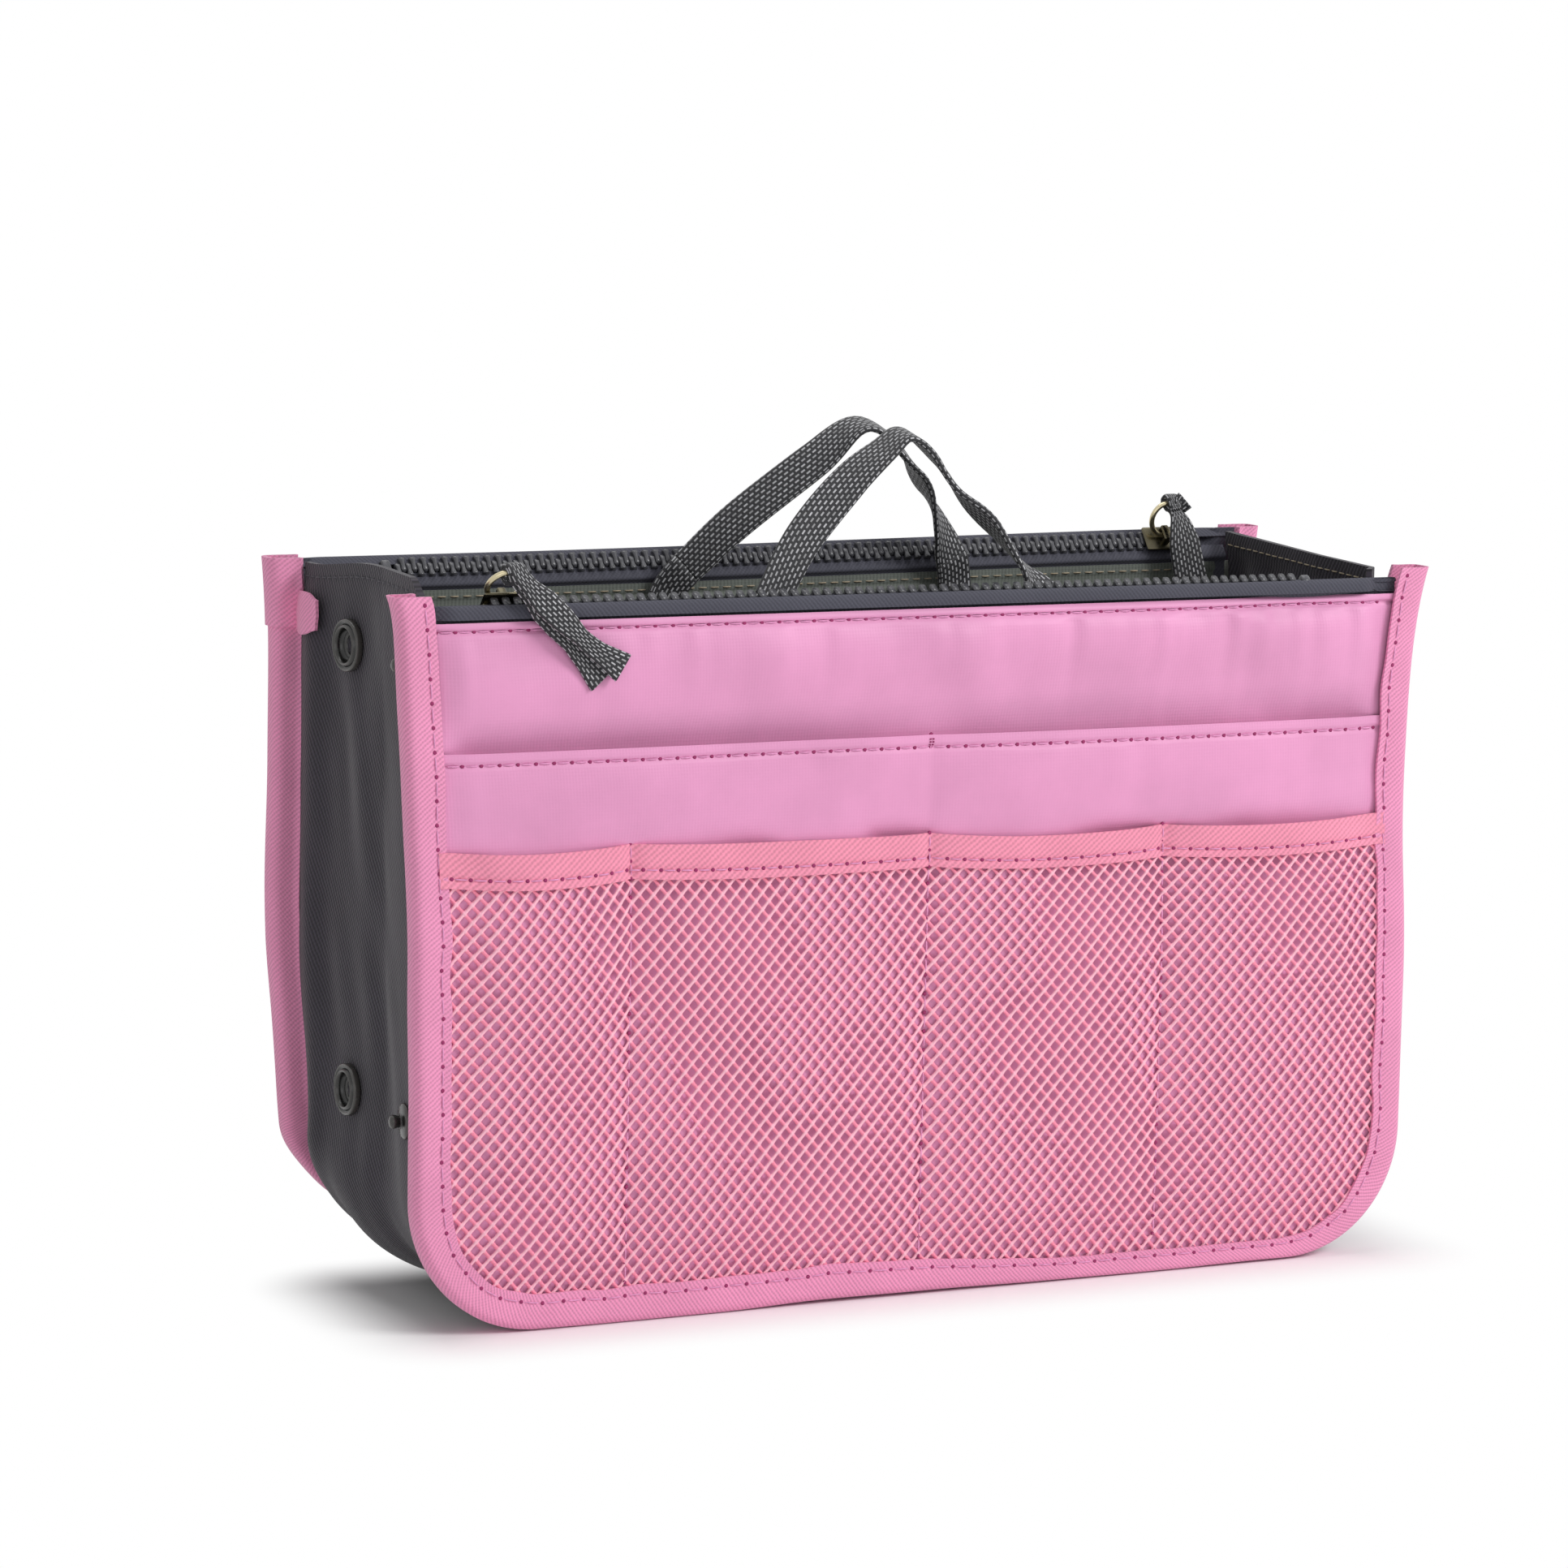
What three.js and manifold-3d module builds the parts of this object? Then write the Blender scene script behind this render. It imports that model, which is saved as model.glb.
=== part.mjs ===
// Travel cosmetic organizer: two flat zipped wings joined by a folding gusset.
// Millimetres, Z up, the front wing towards -Y, origin on the floor in the middle.
import * as THREE from "three";
import { mergeVertices } from "three/addons/utils/BufferGeometryUtils.js";
import ManifoldModule from "manifold-3d";

// Overall size
const WIDTH = 280;
const HEIGHT = 178;
const DEPTH = 91;
const CORNER = 42;
const GAP = 0.3;

// Layers of a wing, measured outwards from its inner face
const INNER_PANEL = [0, 1.0];
const OUTER_PANEL = [3.8, 5.0];
const SLIP_POCKET = [5.3, 5.8];
const LOWER_POCKET = [6.1, 6.7];
const HEM_TAPE = [6.1, 7.1];
const BINDING = [-1.1, 6.1];
const INNER_POCKET = [-0.9, -0.3];
const INNER_ELASTIC = [-1.3, -0.3];
const INNER_FACE = DEPTH / 2 - BINDING[1];

// Binding tape
const BINDING_WIDTH = 9;
const TAPE = 0.8;

// Heights on a wing
const OUTER_PANEL_TOP = 171.4;
const INNER_PANEL_TOP = 169;
const SLIP_TOP = 140.6;
const HEM_TOP = 117.4;
const HEM_TALL = 8.5;
const INNER_POCKET_LOW = 34;
const INNER_POCKET_TOP = 128;
const ELASTIC_TALL = 6;
const INNER_POCKET_HALF = 112;

// Net of the front pockets, and the seams that part it into four
const NET_PITCH = 12.2;
const NET_HOLE = 9.4;
const NET_BORDER = 2.2;
const NET_SEAMS = [-82.7, 0, 66.9];

// Zip: a sloped plane facing inwards and up, from its lower edge (outwards, up)
const ZIP_LOW = [-1.6, 170.6];
const ZIP_SLOPE = new THREE.Vector2(0.645, 0.7642).normalize();
const ZIP_TAPE = 0.6;
const OUTER_TAPE = [[3.2, 160], [3.2, 171.6], [5.2, 173.2], [5.2, 176.5], [4.5, 177.2]];
const INNER_TAPE = [[-0.6, 164], [-0.6, 169.2]];
const ZIP_HALF = 124.5;
const TOOTH_PITCH = 2.9;
const TOOTH_COUNT = 77;
const TOOTH_WIDE = 1.05;
const TEETH_FROM = -115.2;
const TEETH_HALF = 1.1;
const CHAIN = [2.2, 7.4];
const CHAIN_BACK = 1.1;
const TOOTH_REACH = 2.9;
const SLIDER_X = -112;
const SLIDER_HALF = 5.5;
const RING_HINGE = [4.8, 3.15];
const RING_RADIUS = 4.6;
const RING_WIRE = 0.7;
const FRONT_RING_WAY = [0.66, 0.7513];
const BACK_RING_WAY = [-0.25, 0.968];

// Webbing
const WEB_WIDE = 9;
const WEB_THICK = 1.4;
const PULL_THICK = 2;
const SEWN_END = [[-1, 150], [-1, 161.5], [-2.8, 164.8], [-5.4, 171.6]];

// Handle loops as (x, outwards, up) in each wing's own frame
const FRONT_LOOP = [
  [-37.5, -5.5, 172.9],
  [-37.2, -5.9, 175.6],
  [-29, -7.8, 187.5],
  [-17.5, -10.2, 201.5],
  [-4, -11.5, 213],
  [5, -11.3, 208.5],
  [14, -9.8, 198],
  [23, -8.2, 189],
  [35.2, -5.9, 175.6],
  [35.5, -5.5, 172.9],
];
const BACK_LOOP = [
  [-45.5, -5.5, 172.9],
  [-45.2, -5.9, 175.6],
  [-38.5, -7.8, 187],
  [-28.5, -10.2, 201],
  [-17, -11.5, 211],
  [-2.5, -10.4, 201.5],
  [18.5, -7.8, 187.5],
  [28.7, -5.9, 175.6],
  [29, -5.5, 172.9],
];

// Gusset: fold panels between the wings, each a sheet of the same thickness
const SHEET = 1;
const GUSSET_HALF = 132.2;
const GUSSET_LOW = 3;
const GUSSET_TOP = 177;
const GUSSET_RADIUS = 39;
const SEAM_Y = INNER_FACE + BINDING[0] - GAP;
const FOLD_LENGTH = 27;
const FOLD_Y = -SEAM_Y + FOLD_LENGTH;
const BAND_Y = FOLD_Y + FOLD_LENGTH;
const FOLD_GAP = 0.15;

// Snaps
const SOCKET_Y = 8.4;
const STUD_Y = 2 * FOLD_Y - SOCKET_Y;
const SNAP_Z = { upper: 159.5, lower: 50.5 };
const SOCKET_HOLE = 3.4;
const STUD_HOLE = 2.3;
const ROUND = 14;

// Colours and finishes
const FINISH = {
  pinkNylon: { color: 0xdf94bf, roughness: 0.5 },
  pinkTape: { color: 0xe087b5, roughness: 0.8 },
  pinkNet: { color: 0xf57f9f, roughness: 0.6 },
  hemTape: { color: 0xee93ae, roughness: 0.8 },
  greyTwill: { color: 0x3e3b42, roughness: 0.8 },
  lining: { color: 0x6e756e, roughness: 0.6 },
  zipTape: { color: 0x3d3d48, roughness: 0.9 },
  zipTeeth: { color: 0x33333a, roughness: 0.5 },
  webbing: { color: 0x46464b, roughness: 0.9 },
  snap: { color: 0x161618, roughness: 0.3 },
  metal: { color: 0xc9bfa0, roughness: 0.3, metalness: 1 },
};

const wasm = await ManifoldModule();
wasm.setup();
const { Manifold, Mesh: SolidMesh } = wasm;

function piece(name, geometry, finish) {
  const mesh = new THREE.Mesh(geometry, new THREE.MeshStandardMaterial(FINISH[finish]));
  mesh.name = name;
  return mesh;
}

function welded(geometry) {
  const plain = new THREE.BufferGeometry();
  plain.setAttribute("position", geometry.getAttribute("position").clone());
  if (geometry.index) plain.setIndex(geometry.index.clone());
  return mergeVertices(plain, 1e-4);
}

// Six times the signed volume, to see which way the faces look.
function signedVolume(geometry) {
  const p = geometry.getAttribute("position");
  const at = (i) => new THREE.Vector3().fromBufferAttribute(p, geometry.index.getX(i));
  let sum = 0;
  for (let i = 0; i < geometry.index.count; i += 3) {
    sum += at(i).dot(at(i + 1).cross(at(i + 2)));
  }
  return sum;
}

function outward(geometry) {
  const closed = welded(geometry);
  if (signedVolume(closed) < 0) {
    const order = closed.index.array;
    for (let i = 0; i < order.length; i += 3) {
      [order[i], order[i + 1]] = [order[i + 1], order[i]];
    }
  }
  return closed;
}

function toSolid(geometry) {
  const closed = outward(geometry);
  return new Manifold(
    new SolidMesh({
      numProp: 3,
      vertProperties: new Float32Array(closed.getAttribute("position").array),
      triVerts: new Uint32Array(closed.index.array),
    }),
  );
}

function toGeometry(solid) {
  const mesh = solid.getMesh();
  const geometry = new THREE.BufferGeometry();
  geometry.setAttribute("position", new THREE.BufferAttribute(new Float32Array(mesh.vertProperties), 3));
  geometry.setIndex(new THREE.BufferAttribute(new Uint32Array(mesh.triVerts), 1));
  return geometry;
}

const join = (...geometries) => toGeometry(Manifold.union(geometries.map(toSolid)));

function cut(geometry, ...tools) {
  return toGeometry(toSolid(geometry).subtract(Manifold.union(tools.map(toSolid))));
}

// Outline of a wing in X and Z, drawn in by inset, with round lower corners.
function wingOutline(inset, top) {
  const half = WIDTH / 2 - inset;
  const radius = CORNER - inset;
  const shape = new THREE.Shape();
  shape.moveTo(-half, top);
  shape.lineTo(-half, CORNER);
  shape.absarc(-half + radius, CORNER, radius, Math.PI, Math.PI * 1.5, false);
  shape.lineTo(half - radius, inset);
  shape.absarc(half - radius, CORNER, radius, Math.PI * 1.5, Math.PI * 2, false);
  shape.lineTo(half, top);
  shape.closePath();
  return shape;
}

function rectangle(x0, z0, x1, z1) {
  const corners = [[x0, z0], [x1, z0], [x1, z1], [x0, z1]];
  return new THREE.Shape(corners.map(([x, z]) => new THREE.Vector2(x, z)));
}

// A flat layer of a wing: a shape in X and Z between two distances outwards.
function layer(shape, [from, to]) {
  const options = { depth: to - from, bevelEnabled: false, curveSegments: 8 };
  const geometry = new THREE.ExtrudeGeometry(shape, options);
  geometry.rotateX(Math.PI / 2);
  geometry.translate(0, -(INNER_FACE + from), 0);
  return geometry;
}

// A bar along X whose section is given as (outwards, up) points.
function bar(section, x0, x1) {
  const shape = new THREE.Shape(section.map(([u, z]) => new THREE.Vector2(u, z)));
  const geometry = new THREE.ExtrudeGeometry(shape, { depth: x1 - x0, bevelEnabled: false });
  const place = new THREE.Matrix4().makeBasis(
    new THREE.Vector3(0, -1, 0),
    new THREE.Vector3(0, 0, 1),
    new THREE.Vector3(-1, 0, 0),
  );
  place.setPosition(x1, -INNER_FACE, 0);
  return geometry.applyMatrix4(place);
}

// The section of a strip of even thickness along a bent line.
function strip(path, thick) {
  const points = path.map(([u, z]) => new THREE.Vector2(u, z));
  const sides = [[], []];
  points.forEach((point, i) => {
    const before = points[Math.max(i - 1, 0)];
    const after = points[Math.min(i + 1, points.length - 1)];
    const first = i > 0 ? point.clone().sub(before).normalize() : after.clone().sub(point).normalize();
    const second = i < points.length - 1 ? after.clone().sub(point).normalize() : first.clone();
    const along = first.clone().add(second).normalize();
    const across = new THREE.Vector2(-along.y, along.x);
    const reach = thick / 2 / Math.max(along.dot(first), 0.5);
    sides[0].push([point.x + across.x * reach, point.y + across.y * reach]);
    sides[1].unshift([point.x - across.x * reach, point.y - across.y * reach]);
  });
  return [...sides[0], ...sides[1]];
}

// Zip plane coordinates: along X, up the slope and out of its inner side.
function zipMatrix() {
  const place = new THREE.Matrix4().makeBasis(
    new THREE.Vector3(1, 0, 0),
    new THREE.Vector3(0, -ZIP_SLOPE.x, ZIP_SLOPE.y),
    new THREE.Vector3(0, -ZIP_SLOPE.y, -ZIP_SLOPE.x),
  );
  return place.setPosition(0, -(INNER_FACE + ZIP_LOW[0]), ZIP_LOW[1]);
}

// A point of the zip plane as (outwards, up).
function zipPoint(slope, normal) {
  return [
    ZIP_LOW[0] + slope * ZIP_SLOPE.x - normal * ZIP_SLOPE.y,
    ZIP_LOW[1] + slope * ZIP_SLOPE.y + normal * ZIP_SLOPE.x,
  ];
}

function zipBlock([x0, x1], [s0, s1], [n0, n1]) {
  const geometry = new THREE.BoxGeometry(x1 - x0, s1 - s0, n1 - n0);
  geometry.translate((x0 + x1) / 2, (s0 + s1) / 2, -(n0 + n1) / 2);
  return geometry.applyMatrix4(zipMatrix());
}

// One row of teeth as a comb: a back strip with a tooth at every pitch.
function teethRow(back, reach, shift) {
  const way = Math.sign(reach - back);
  const root = back + way * CHAIN_BACK;
  const last = TEETH_FROM + TOOTH_PITCH * TOOTH_COUNT;
  const line = [[TEETH_FROM, back], [TEETH_FROM, root]];
  for (let i = 0; i < TOOTH_COUNT; i += 1) {
    const x = TEETH_FROM + shift + TOOTH_PITCH * (i + 0.25);
    line.push([x - TOOTH_WIDE / 2, root], [x - TOOTH_WIDE / 2, reach], [x + TOOTH_WIDE / 2, reach]);
    line.push([x + TOOTH_WIDE / 2, root]);
  }
  line.push([last, root], [last, back]);
  const shape = new THREE.Shape(line.map(([x, s]) => new THREE.Vector2(x, s)));
  const geometry = new THREE.ExtrudeGeometry(shape, { depth: TEETH_HALF * 2, bevelEnabled: false });
  geometry.translate(0, 0, -TEETH_HALF);
  return geometry.applyMatrix4(zipMatrix());
}

// Holes of the net: staggered diamonds in each pocket, none across a seam or the border.
function netHoles() {
  const inset = BINDING_WIDTH + GAP;
  const high = HEM_TOP - HEM_TALL - GAP - NET_BORDER;
  const low = inset + NET_BORDER;
  const half = WIDTH / 2 - inset;
  const edges = [-half, ...NET_SEAMS, half];
  const reach = NET_HOLE / 2;
  const rows = Math.floor((high - low - NET_HOLE) / (NET_PITCH / 2));
  const holes = [];
  const through = [LOWER_POCKET[0] - 1, LOWER_POCKET[1] + 1];
  for (let pocket = 0; pocket + 1 < edges.length; pocket += 1) {
    const middle = (edges[pocket] + edges[pocket + 1]) / 2;
    const wide = edges[pocket + 1] - edges[pocket] - 2 * NET_BORDER - NET_HOLE;
    const columns = Math.floor(wide / NET_PITCH);
    for (let row = 0; row <= rows; row += 1) {
      const count = columns + 1 - (row % 2);
      for (let column = 0; column < count; column += 1) {
        const x = middle + (column - (count - 1) / 2) * NET_PITCH;
        const z = high - reach - (row * NET_PITCH) / 2;
        const sideways = Math.max(Math.abs(x) - (WIDTH / 2 - CORNER), 0);
        const corner = Math.hypot(sideways, Math.max(CORNER - z, 0));
        if (corner > CORNER - inset - NET_BORDER - reach) continue;
        const corners = [[x - reach, z], [x, z - reach], [x + reach, z], [x, z + reach]];
        holes.push(layer(new THREE.Shape(corners.map(([a, b]) => new THREE.Vector2(a, b))), through));
      }
    }
  }
  return holes;
}

// Folded binding: a channel round the sides and bottom, open towards the middle.
function bindingTape() {
  const [inner, outer] = BINDING;
  const whole = layer(wingOutline(0, HEIGHT), BINDING);
  const cavity = layer(wingOutline(TAPE, HEIGHT - TAPE), [inner + TAPE, outer - TAPE]);
  const window = layer(wingOutline(BINDING_WIDTH, HEIGHT + 5), [inner - 5, outer + 5]);
  return cut(whole, cavity, window);
}

// Webbing loop: a flat section swept along a curve, turned edge-on at its top.
function webbingLoop(points) {
  const place = points.map(([x, u, z]) => new THREE.Vector3(x, -(INNER_FACE + u), z));
  const curve = new THREE.CatmullRomCurve3(place, false, "centripetal");
  const steps = 24;
  const positions = [];
  const faces = [];
  for (let i = 0; i <= steps; i += 1) {
    const t = i / steps;
    const along = curve.getTangentAt(t);
    const level = new THREE.Vector3().crossVectors(along, new THREE.Vector3(0, -1, 0)).normalize();
    const turn = (Math.PI / 2) * 0.85 * Math.sin(Math.PI * t) ** 2;
    const wide = level.applyAxisAngle(along, turn);
    const thick = new THREE.Vector3().crossVectors(along, wide);
    for (const [a, b] of [[-1, -1], [1, -1], [1, 1], [-1, 1]]) {
      const corner = curve.getPointAt(t);
      corner.addScaledVector(wide, (a * WEB_WIDE) / 2).addScaledVector(thick, (b * WEB_THICK) / 2);
      positions.push(corner.x, corner.y, corner.z);
    }
  }
  for (let i = 0; i < steps; i += 1) {
    for (let k = 0; k < 4; k += 1) {
      const a = i * 4 + k;
      const b = i * 4 + ((k + 1) % 4);
      faces.push(a, b, b + 4, a, b + 4, a + 4);
    }
  }
  const end = steps * 4;
  faces.push(0, 2, 1, 0, 3, 2, end, end + 1, end + 2, end, end + 2, end + 3);
  const geometry = new THREE.BufferGeometry();
  geometry.setAttribute("position", new THREE.Float32BufferAttribute(positions, 3));
  geometry.setIndex(faces);
  return outward(geometry);
}

// Sewn end of a handle: flat on the lining, then leaning clear of the zip.
function sewnEnd([x]) {
  return bar(strip(SEWN_END, WEB_THICK), x - WEB_WIDE / 2, x + WEB_WIDE / 2);
}

// Slider: two plates round the chain, a divider at its nose and a bridge.
function slider() {
  const body = [SLIDER_X - SLIDER_HALF, SLIDER_X + SLIDER_HALF];
  const bridge = [SLIDER_X - 1, SLIDER_X + 1];
  return join(
    zipBlock(body, [1.2, 8.2], [1.4, 2.2]),
    zipBlock(body, [2.4, 6.4], [-2.1, -1.4]),
    zipBlock([body[0], body[0] + 1.7], [4.2, 5.4], [-1.5, 1.5]),
    zipBlock(bridge, [2.6, 3.4], [2, 4.8]),
    zipBlock(bridge, [6.2, 7], [2, 4.8]),
    zipBlock(bridge, [2.6, 7], [4.1, 4.8]),
  );
}

// Where the ring hangs on the slider, and the ring's far side, as (outwards, up).
const ringHinge = zipPoint(...RING_HINGE);
const ringFar = ([u, z]) => [ringHinge[0] + u * 2 * RING_RADIUS, ringHinge[1] + z * 2 * RING_RADIUS];

function ring([u, z]) {
  const geometry = new THREE.TorusGeometry(RING_RADIUS, RING_WIRE, 6, 18);
  const way = new THREE.Vector3(0, -u, z);
  const side = new THREE.Vector3(1, 0, 0);
  const place = new THREE.Matrix4().makeBasis(side, way, new THREE.Vector3().crossVectors(side, way));
  place.setPosition(
    SLIDER_X,
    -(INNER_FACE + ringHinge[0] + u * RING_RADIUS),
    ringHinge[1] + z * RING_RADIUS,
  );
  return outward(geometry.applyMatrix4(place));
}

// The webbing eye of a pull, round the ring's far side.
function pullEye([u, z]) {
  const rim = new THREE.Shape();
  rim.absarc(u, z, 2.3, 0, Math.PI * 2, false);
  const eye = new THREE.Path();
  eye.absarc(u, z, 1.3, 0, Math.PI * 2, true);
  rim.holes.push(eye);
  const geometry = new THREE.ExtrudeGeometry(rim, { depth: 3.6, bevelEnabled: false, curveSegments: 8 });
  const place = new THREE.Matrix4().makeBasis(
    new THREE.Vector3(0, -1, 0),
    new THREE.Vector3(0, 0, 1),
    new THREE.Vector3(-1, 0, 0),
  );
  place.setPosition(SLIDER_X + 1.8, -INNER_FACE, 0);
  return geometry.applyMatrix4(place);
}

// A pull's tail: a webbing plate with a notched end, leaning sideways.
function pullTail(x, top, length, wide, lean, depths) {
  const half = wide / 2;
  const corners = [[-half, 0], [-half, -length], [0, -length + 4], [half, -length], [half, 0]];
  const place = new THREE.Vector2(x, top);
  const turned = ([a, b]) => new THREE.Vector2(a, b).rotateAround(new THREE.Vector2(), lean).add(place);
  return layer(new THREE.Shape(corners.map(turned)), depths);
}

function frontPull() {
  const far = ringFar(FRONT_RING_WAY);
  const neck = strip([[far[0] + 1.7, far[1]], [7.3, 178.5], [7.3, 174]], PULL_THICK);
  return join(
    pullEye(far),
    bar(neck, SLIDER_X - 1.8, SLIDER_X + 1.8),
    pullTail(SLIDER_X, 179.5, 31, 8.5, (42 * Math.PI) / 180, [6.3, 8.3]),
  );
}

function backPull() {
  const far = ringFar(BACK_RING_WAY);
  const neck = strip([[far[0] - 1.6, far[1] + 0.5], [-6.3, 181], [-6.3, 176]], PULL_THICK);
  return join(
    pullEye(far),
    bar(neck, SLIDER_X - 1.8, SLIDER_X + 1.8),
    pullTail(SLIDER_X - 1, 181, 22, 9.5, (-14 * Math.PI) / 180, [-7.3, -5.3]),
  );
}

// A wing with all that is sewn on it, its outer side towards -Y.
function makeWing(side, { loop, ends, ringWay, pull, lowerPocket, lowerFinish }) {
  const wing = new THREE.Group();
  const frame = BINDING_WIDTH + GAP;
  const inside = WIDTH / 2 - frame;
  const add = (name, geometry, finish) => wing.add(piece(`${side}_${name}`, geometry, finish));
  const edge = TAPE + 0.4;

  add("outer_panel", layer(wingOutline(edge, OUTER_PANEL_TOP), OUTER_PANEL), "pinkNylon");
  add("inner_panel", layer(wingOutline(edge, INNER_PANEL_TOP), INNER_PANEL), "lining");
  add("binding", bindingTape(), "pinkTape");
  add("slip_pocket", layer(wingOutline(frame, SLIP_TOP), SLIP_POCKET), "pinkNylon");
  add("lower_pocket", lowerPocket, lowerFinish);
  add("pocket_hem", layer(rectangle(-inside, HEM_TOP - HEM_TALL, inside, HEM_TOP), HEM_TAPE), "hemTape");

  const pocket = rectangle(-INNER_POCKET_HALF, INNER_POCKET_LOW, INNER_POCKET_HALF, INNER_POCKET_TOP);
  const elasticLow = INNER_POCKET_TOP + GAP;
  const elastic = rectangle(-INNER_POCKET_HALF, elasticLow, INNER_POCKET_HALF, elasticLow + ELASTIC_TALL);
  add("inner_pocket", layer(pocket, INNER_POCKET), "lining");
  add("inner_elastic", layer(elastic, INNER_ELASTIC), "lining");

  const outerTape = [...OUTER_TAPE, zipPoint(CHAIN[1] + GAP, 0)];
  const innerTape = [...INNER_TAPE, ZIP_LOW, zipPoint(CHAIN[0] - GAP, 0)];
  add("zip_outer_tape", bar(strip(outerTape, ZIP_TAPE), -ZIP_HALF, ZIP_HALF), "zipTape");
  add("zip_inner_tape", bar(strip(innerTape, ZIP_TAPE), -ZIP_HALF, ZIP_HALF), "zipTape");
  const reach = CHAIN_BACK + TOOTH_REACH;
  add("zip_outer_teeth", teethRow(CHAIN[1], CHAIN[1] - reach, TOOTH_PITCH / 2), "zipTeeth");
  add("zip_inner_teeth", teethRow(CHAIN[0], CHAIN[0] + reach, 0), "zipTeeth");
  const stopFrom = TEETH_FROM + TOOTH_PITCH * TOOTH_COUNT + GAP;
  add("zip_end_stop", zipBlock([stopFrom, stopFrom + 2.6], CHAIN, [-TEETH_HALF, TEETH_HALF]), "zipTeeth");
  add("zip_slider", slider(), "metal");
  add("zip_ring", ring(ringWay), "metal");
  add("zip_pull", pull, "webbing");

  add(`handle_${ends[0]}_end`, sewnEnd(loop[0]), "webbing");
  add(`handle_${ends[1]}_end`, sewnEnd(loop[loop.length - 1]), "webbing");
  add("handle", webbingLoop(loop), "webbing");
  return wing;
}

// A snap half as a turned rivet through the sheet. Points are (radius, outwards).
const SOCKET_PROFILE = [
  [0, -1.9], [4.4, -1.9], [4.4, -1.3], [3, -1.3], [3, 0.3], [5.8, 0.3],
  [5.8, 1.5], [5.1, 2.2], [3.2, 2.2], [2.4, 1.6], [2.4, -0.6], [0, -0.6],
];
const STUD_PROFILE = [
  [0, -1.8], [3.8, -1.8], [3.8, -1.3], [2, -1.3], [2, 0.3], [4.4, 0.3],
  [4.4, 0.9], [3.6, 1.2], [1.3, 1.2], [1.7, 3], [1.5, 3.9], [0, 4.3],
];

function snapHalf(name, profile, side, y, z) {
  const geometry = new THREE.LatheGeometry(profile.map(([r, h]) => new THREE.Vector2(r, h)), ROUND);
  const half = piece(name, outward(geometry), "snap");
  half.rotation.z = (-side * Math.PI) / 2;
  half.position.set(side * GUSSET_HALF, y, z);
  return half;
}

// A side fold panel: a sheet in Y and Z with a hole for each snap.
function sidePanel(side, y0, y1, snapY, hole) {
  const low = CORNER + GAP;
  const shape = rectangle(y0, low, y1, GUSSET_TOP);
  for (const z of Object.values(SNAP_Z)) {
    const round = new THREE.Path();
    round.absarc(snapY, z, hole, 0, Math.PI * 2, true);
    shape.holes.push(round);
  }
  const geometry = new THREE.ExtrudeGeometry(shape, { depth: SHEET, bevelEnabled: false, curveSegments: 6 });
  const place = new THREE.Matrix4().makeBasis(
    new THREE.Vector3(0, 1, 0),
    new THREE.Vector3(0, 0, 1),
    new THREE.Vector3(1, 0, 0),
  );
  place.setPosition(side > 0 ? GUSSET_HALF - SHEET : -GUSSET_HALF, 0, 0);
  return geometry.applyMatrix4(place);
}

function block([x0, x1], [y0, y1], [z0, z1]) {
  const geometry = new THREE.BoxGeometry(x1 - x0, y1 - y0, z1 - z0);
  return geometry.translate((x0 + x1) / 2, (y0 + y1) / 2, (z0 + z1) / 2);
}

// A shape in X and Z pushed along Y.
function alongY(shape, y0, y1) {
  const options = { depth: y1 - y0, bevelEnabled: false, curveSegments: 10 };
  const geometry = new THREE.ExtrudeGeometry(shape, options);
  geometry.rotateX(Math.PI / 2);
  return geometry.translate(0, y1, 0);
}

const CORNER_X = GUSSET_HALF - GUSSET_RADIUS;
const CORNER_Z = GUSSET_LOW + GUSSET_RADIUS;

function cornerPiece(side) {
  const shape = new THREE.Shape();
  const x = side * CORNER_X;
  const [from, to] = side > 0 ? [Math.PI * 1.5, Math.PI * 2] : [Math.PI, Math.PI * 1.5];
  shape.absarc(x, CORNER_Z, GUSSET_RADIUS, from, to, false);
  shape.absarc(x, CORNER_Z, GUSSET_RADIUS - SHEET, to, from, true);
  shape.closePath();
  return alongY(shape, -SEAM_Y, BAND_Y - FOLD_GAP);
}

function rearBand() {
  const shape = new THREE.Shape();
  const thin = GUSSET_RADIUS - SHEET;
  shape.moveTo(-GUSSET_HALF, GUSSET_TOP);
  shape.lineTo(-GUSSET_HALF, CORNER_Z);
  shape.absarc(-CORNER_X, CORNER_Z, GUSSET_RADIUS, Math.PI, Math.PI * 1.5, false);
  shape.absarc(CORNER_X, CORNER_Z, GUSSET_RADIUS, Math.PI * 1.5, Math.PI * 2, false);
  shape.lineTo(GUSSET_HALF, GUSSET_TOP);
  shape.lineTo(GUSSET_HALF - SHEET, GUSSET_TOP);
  shape.lineTo(GUSSET_HALF - SHEET, CORNER_Z);
  shape.absarc(CORNER_X, CORNER_Z, thin, Math.PI * 2, Math.PI * 1.5, true);
  shape.absarc(-CORNER_X, CORNER_Z, thin, Math.PI * 1.5, Math.PI, true);
  shape.lineTo(-GUSSET_HALF + SHEET, GUSSET_TOP);
  shape.closePath();
  return alongY(shape, BAND_Y + FOLD_GAP, SEAM_Y);
}

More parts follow.
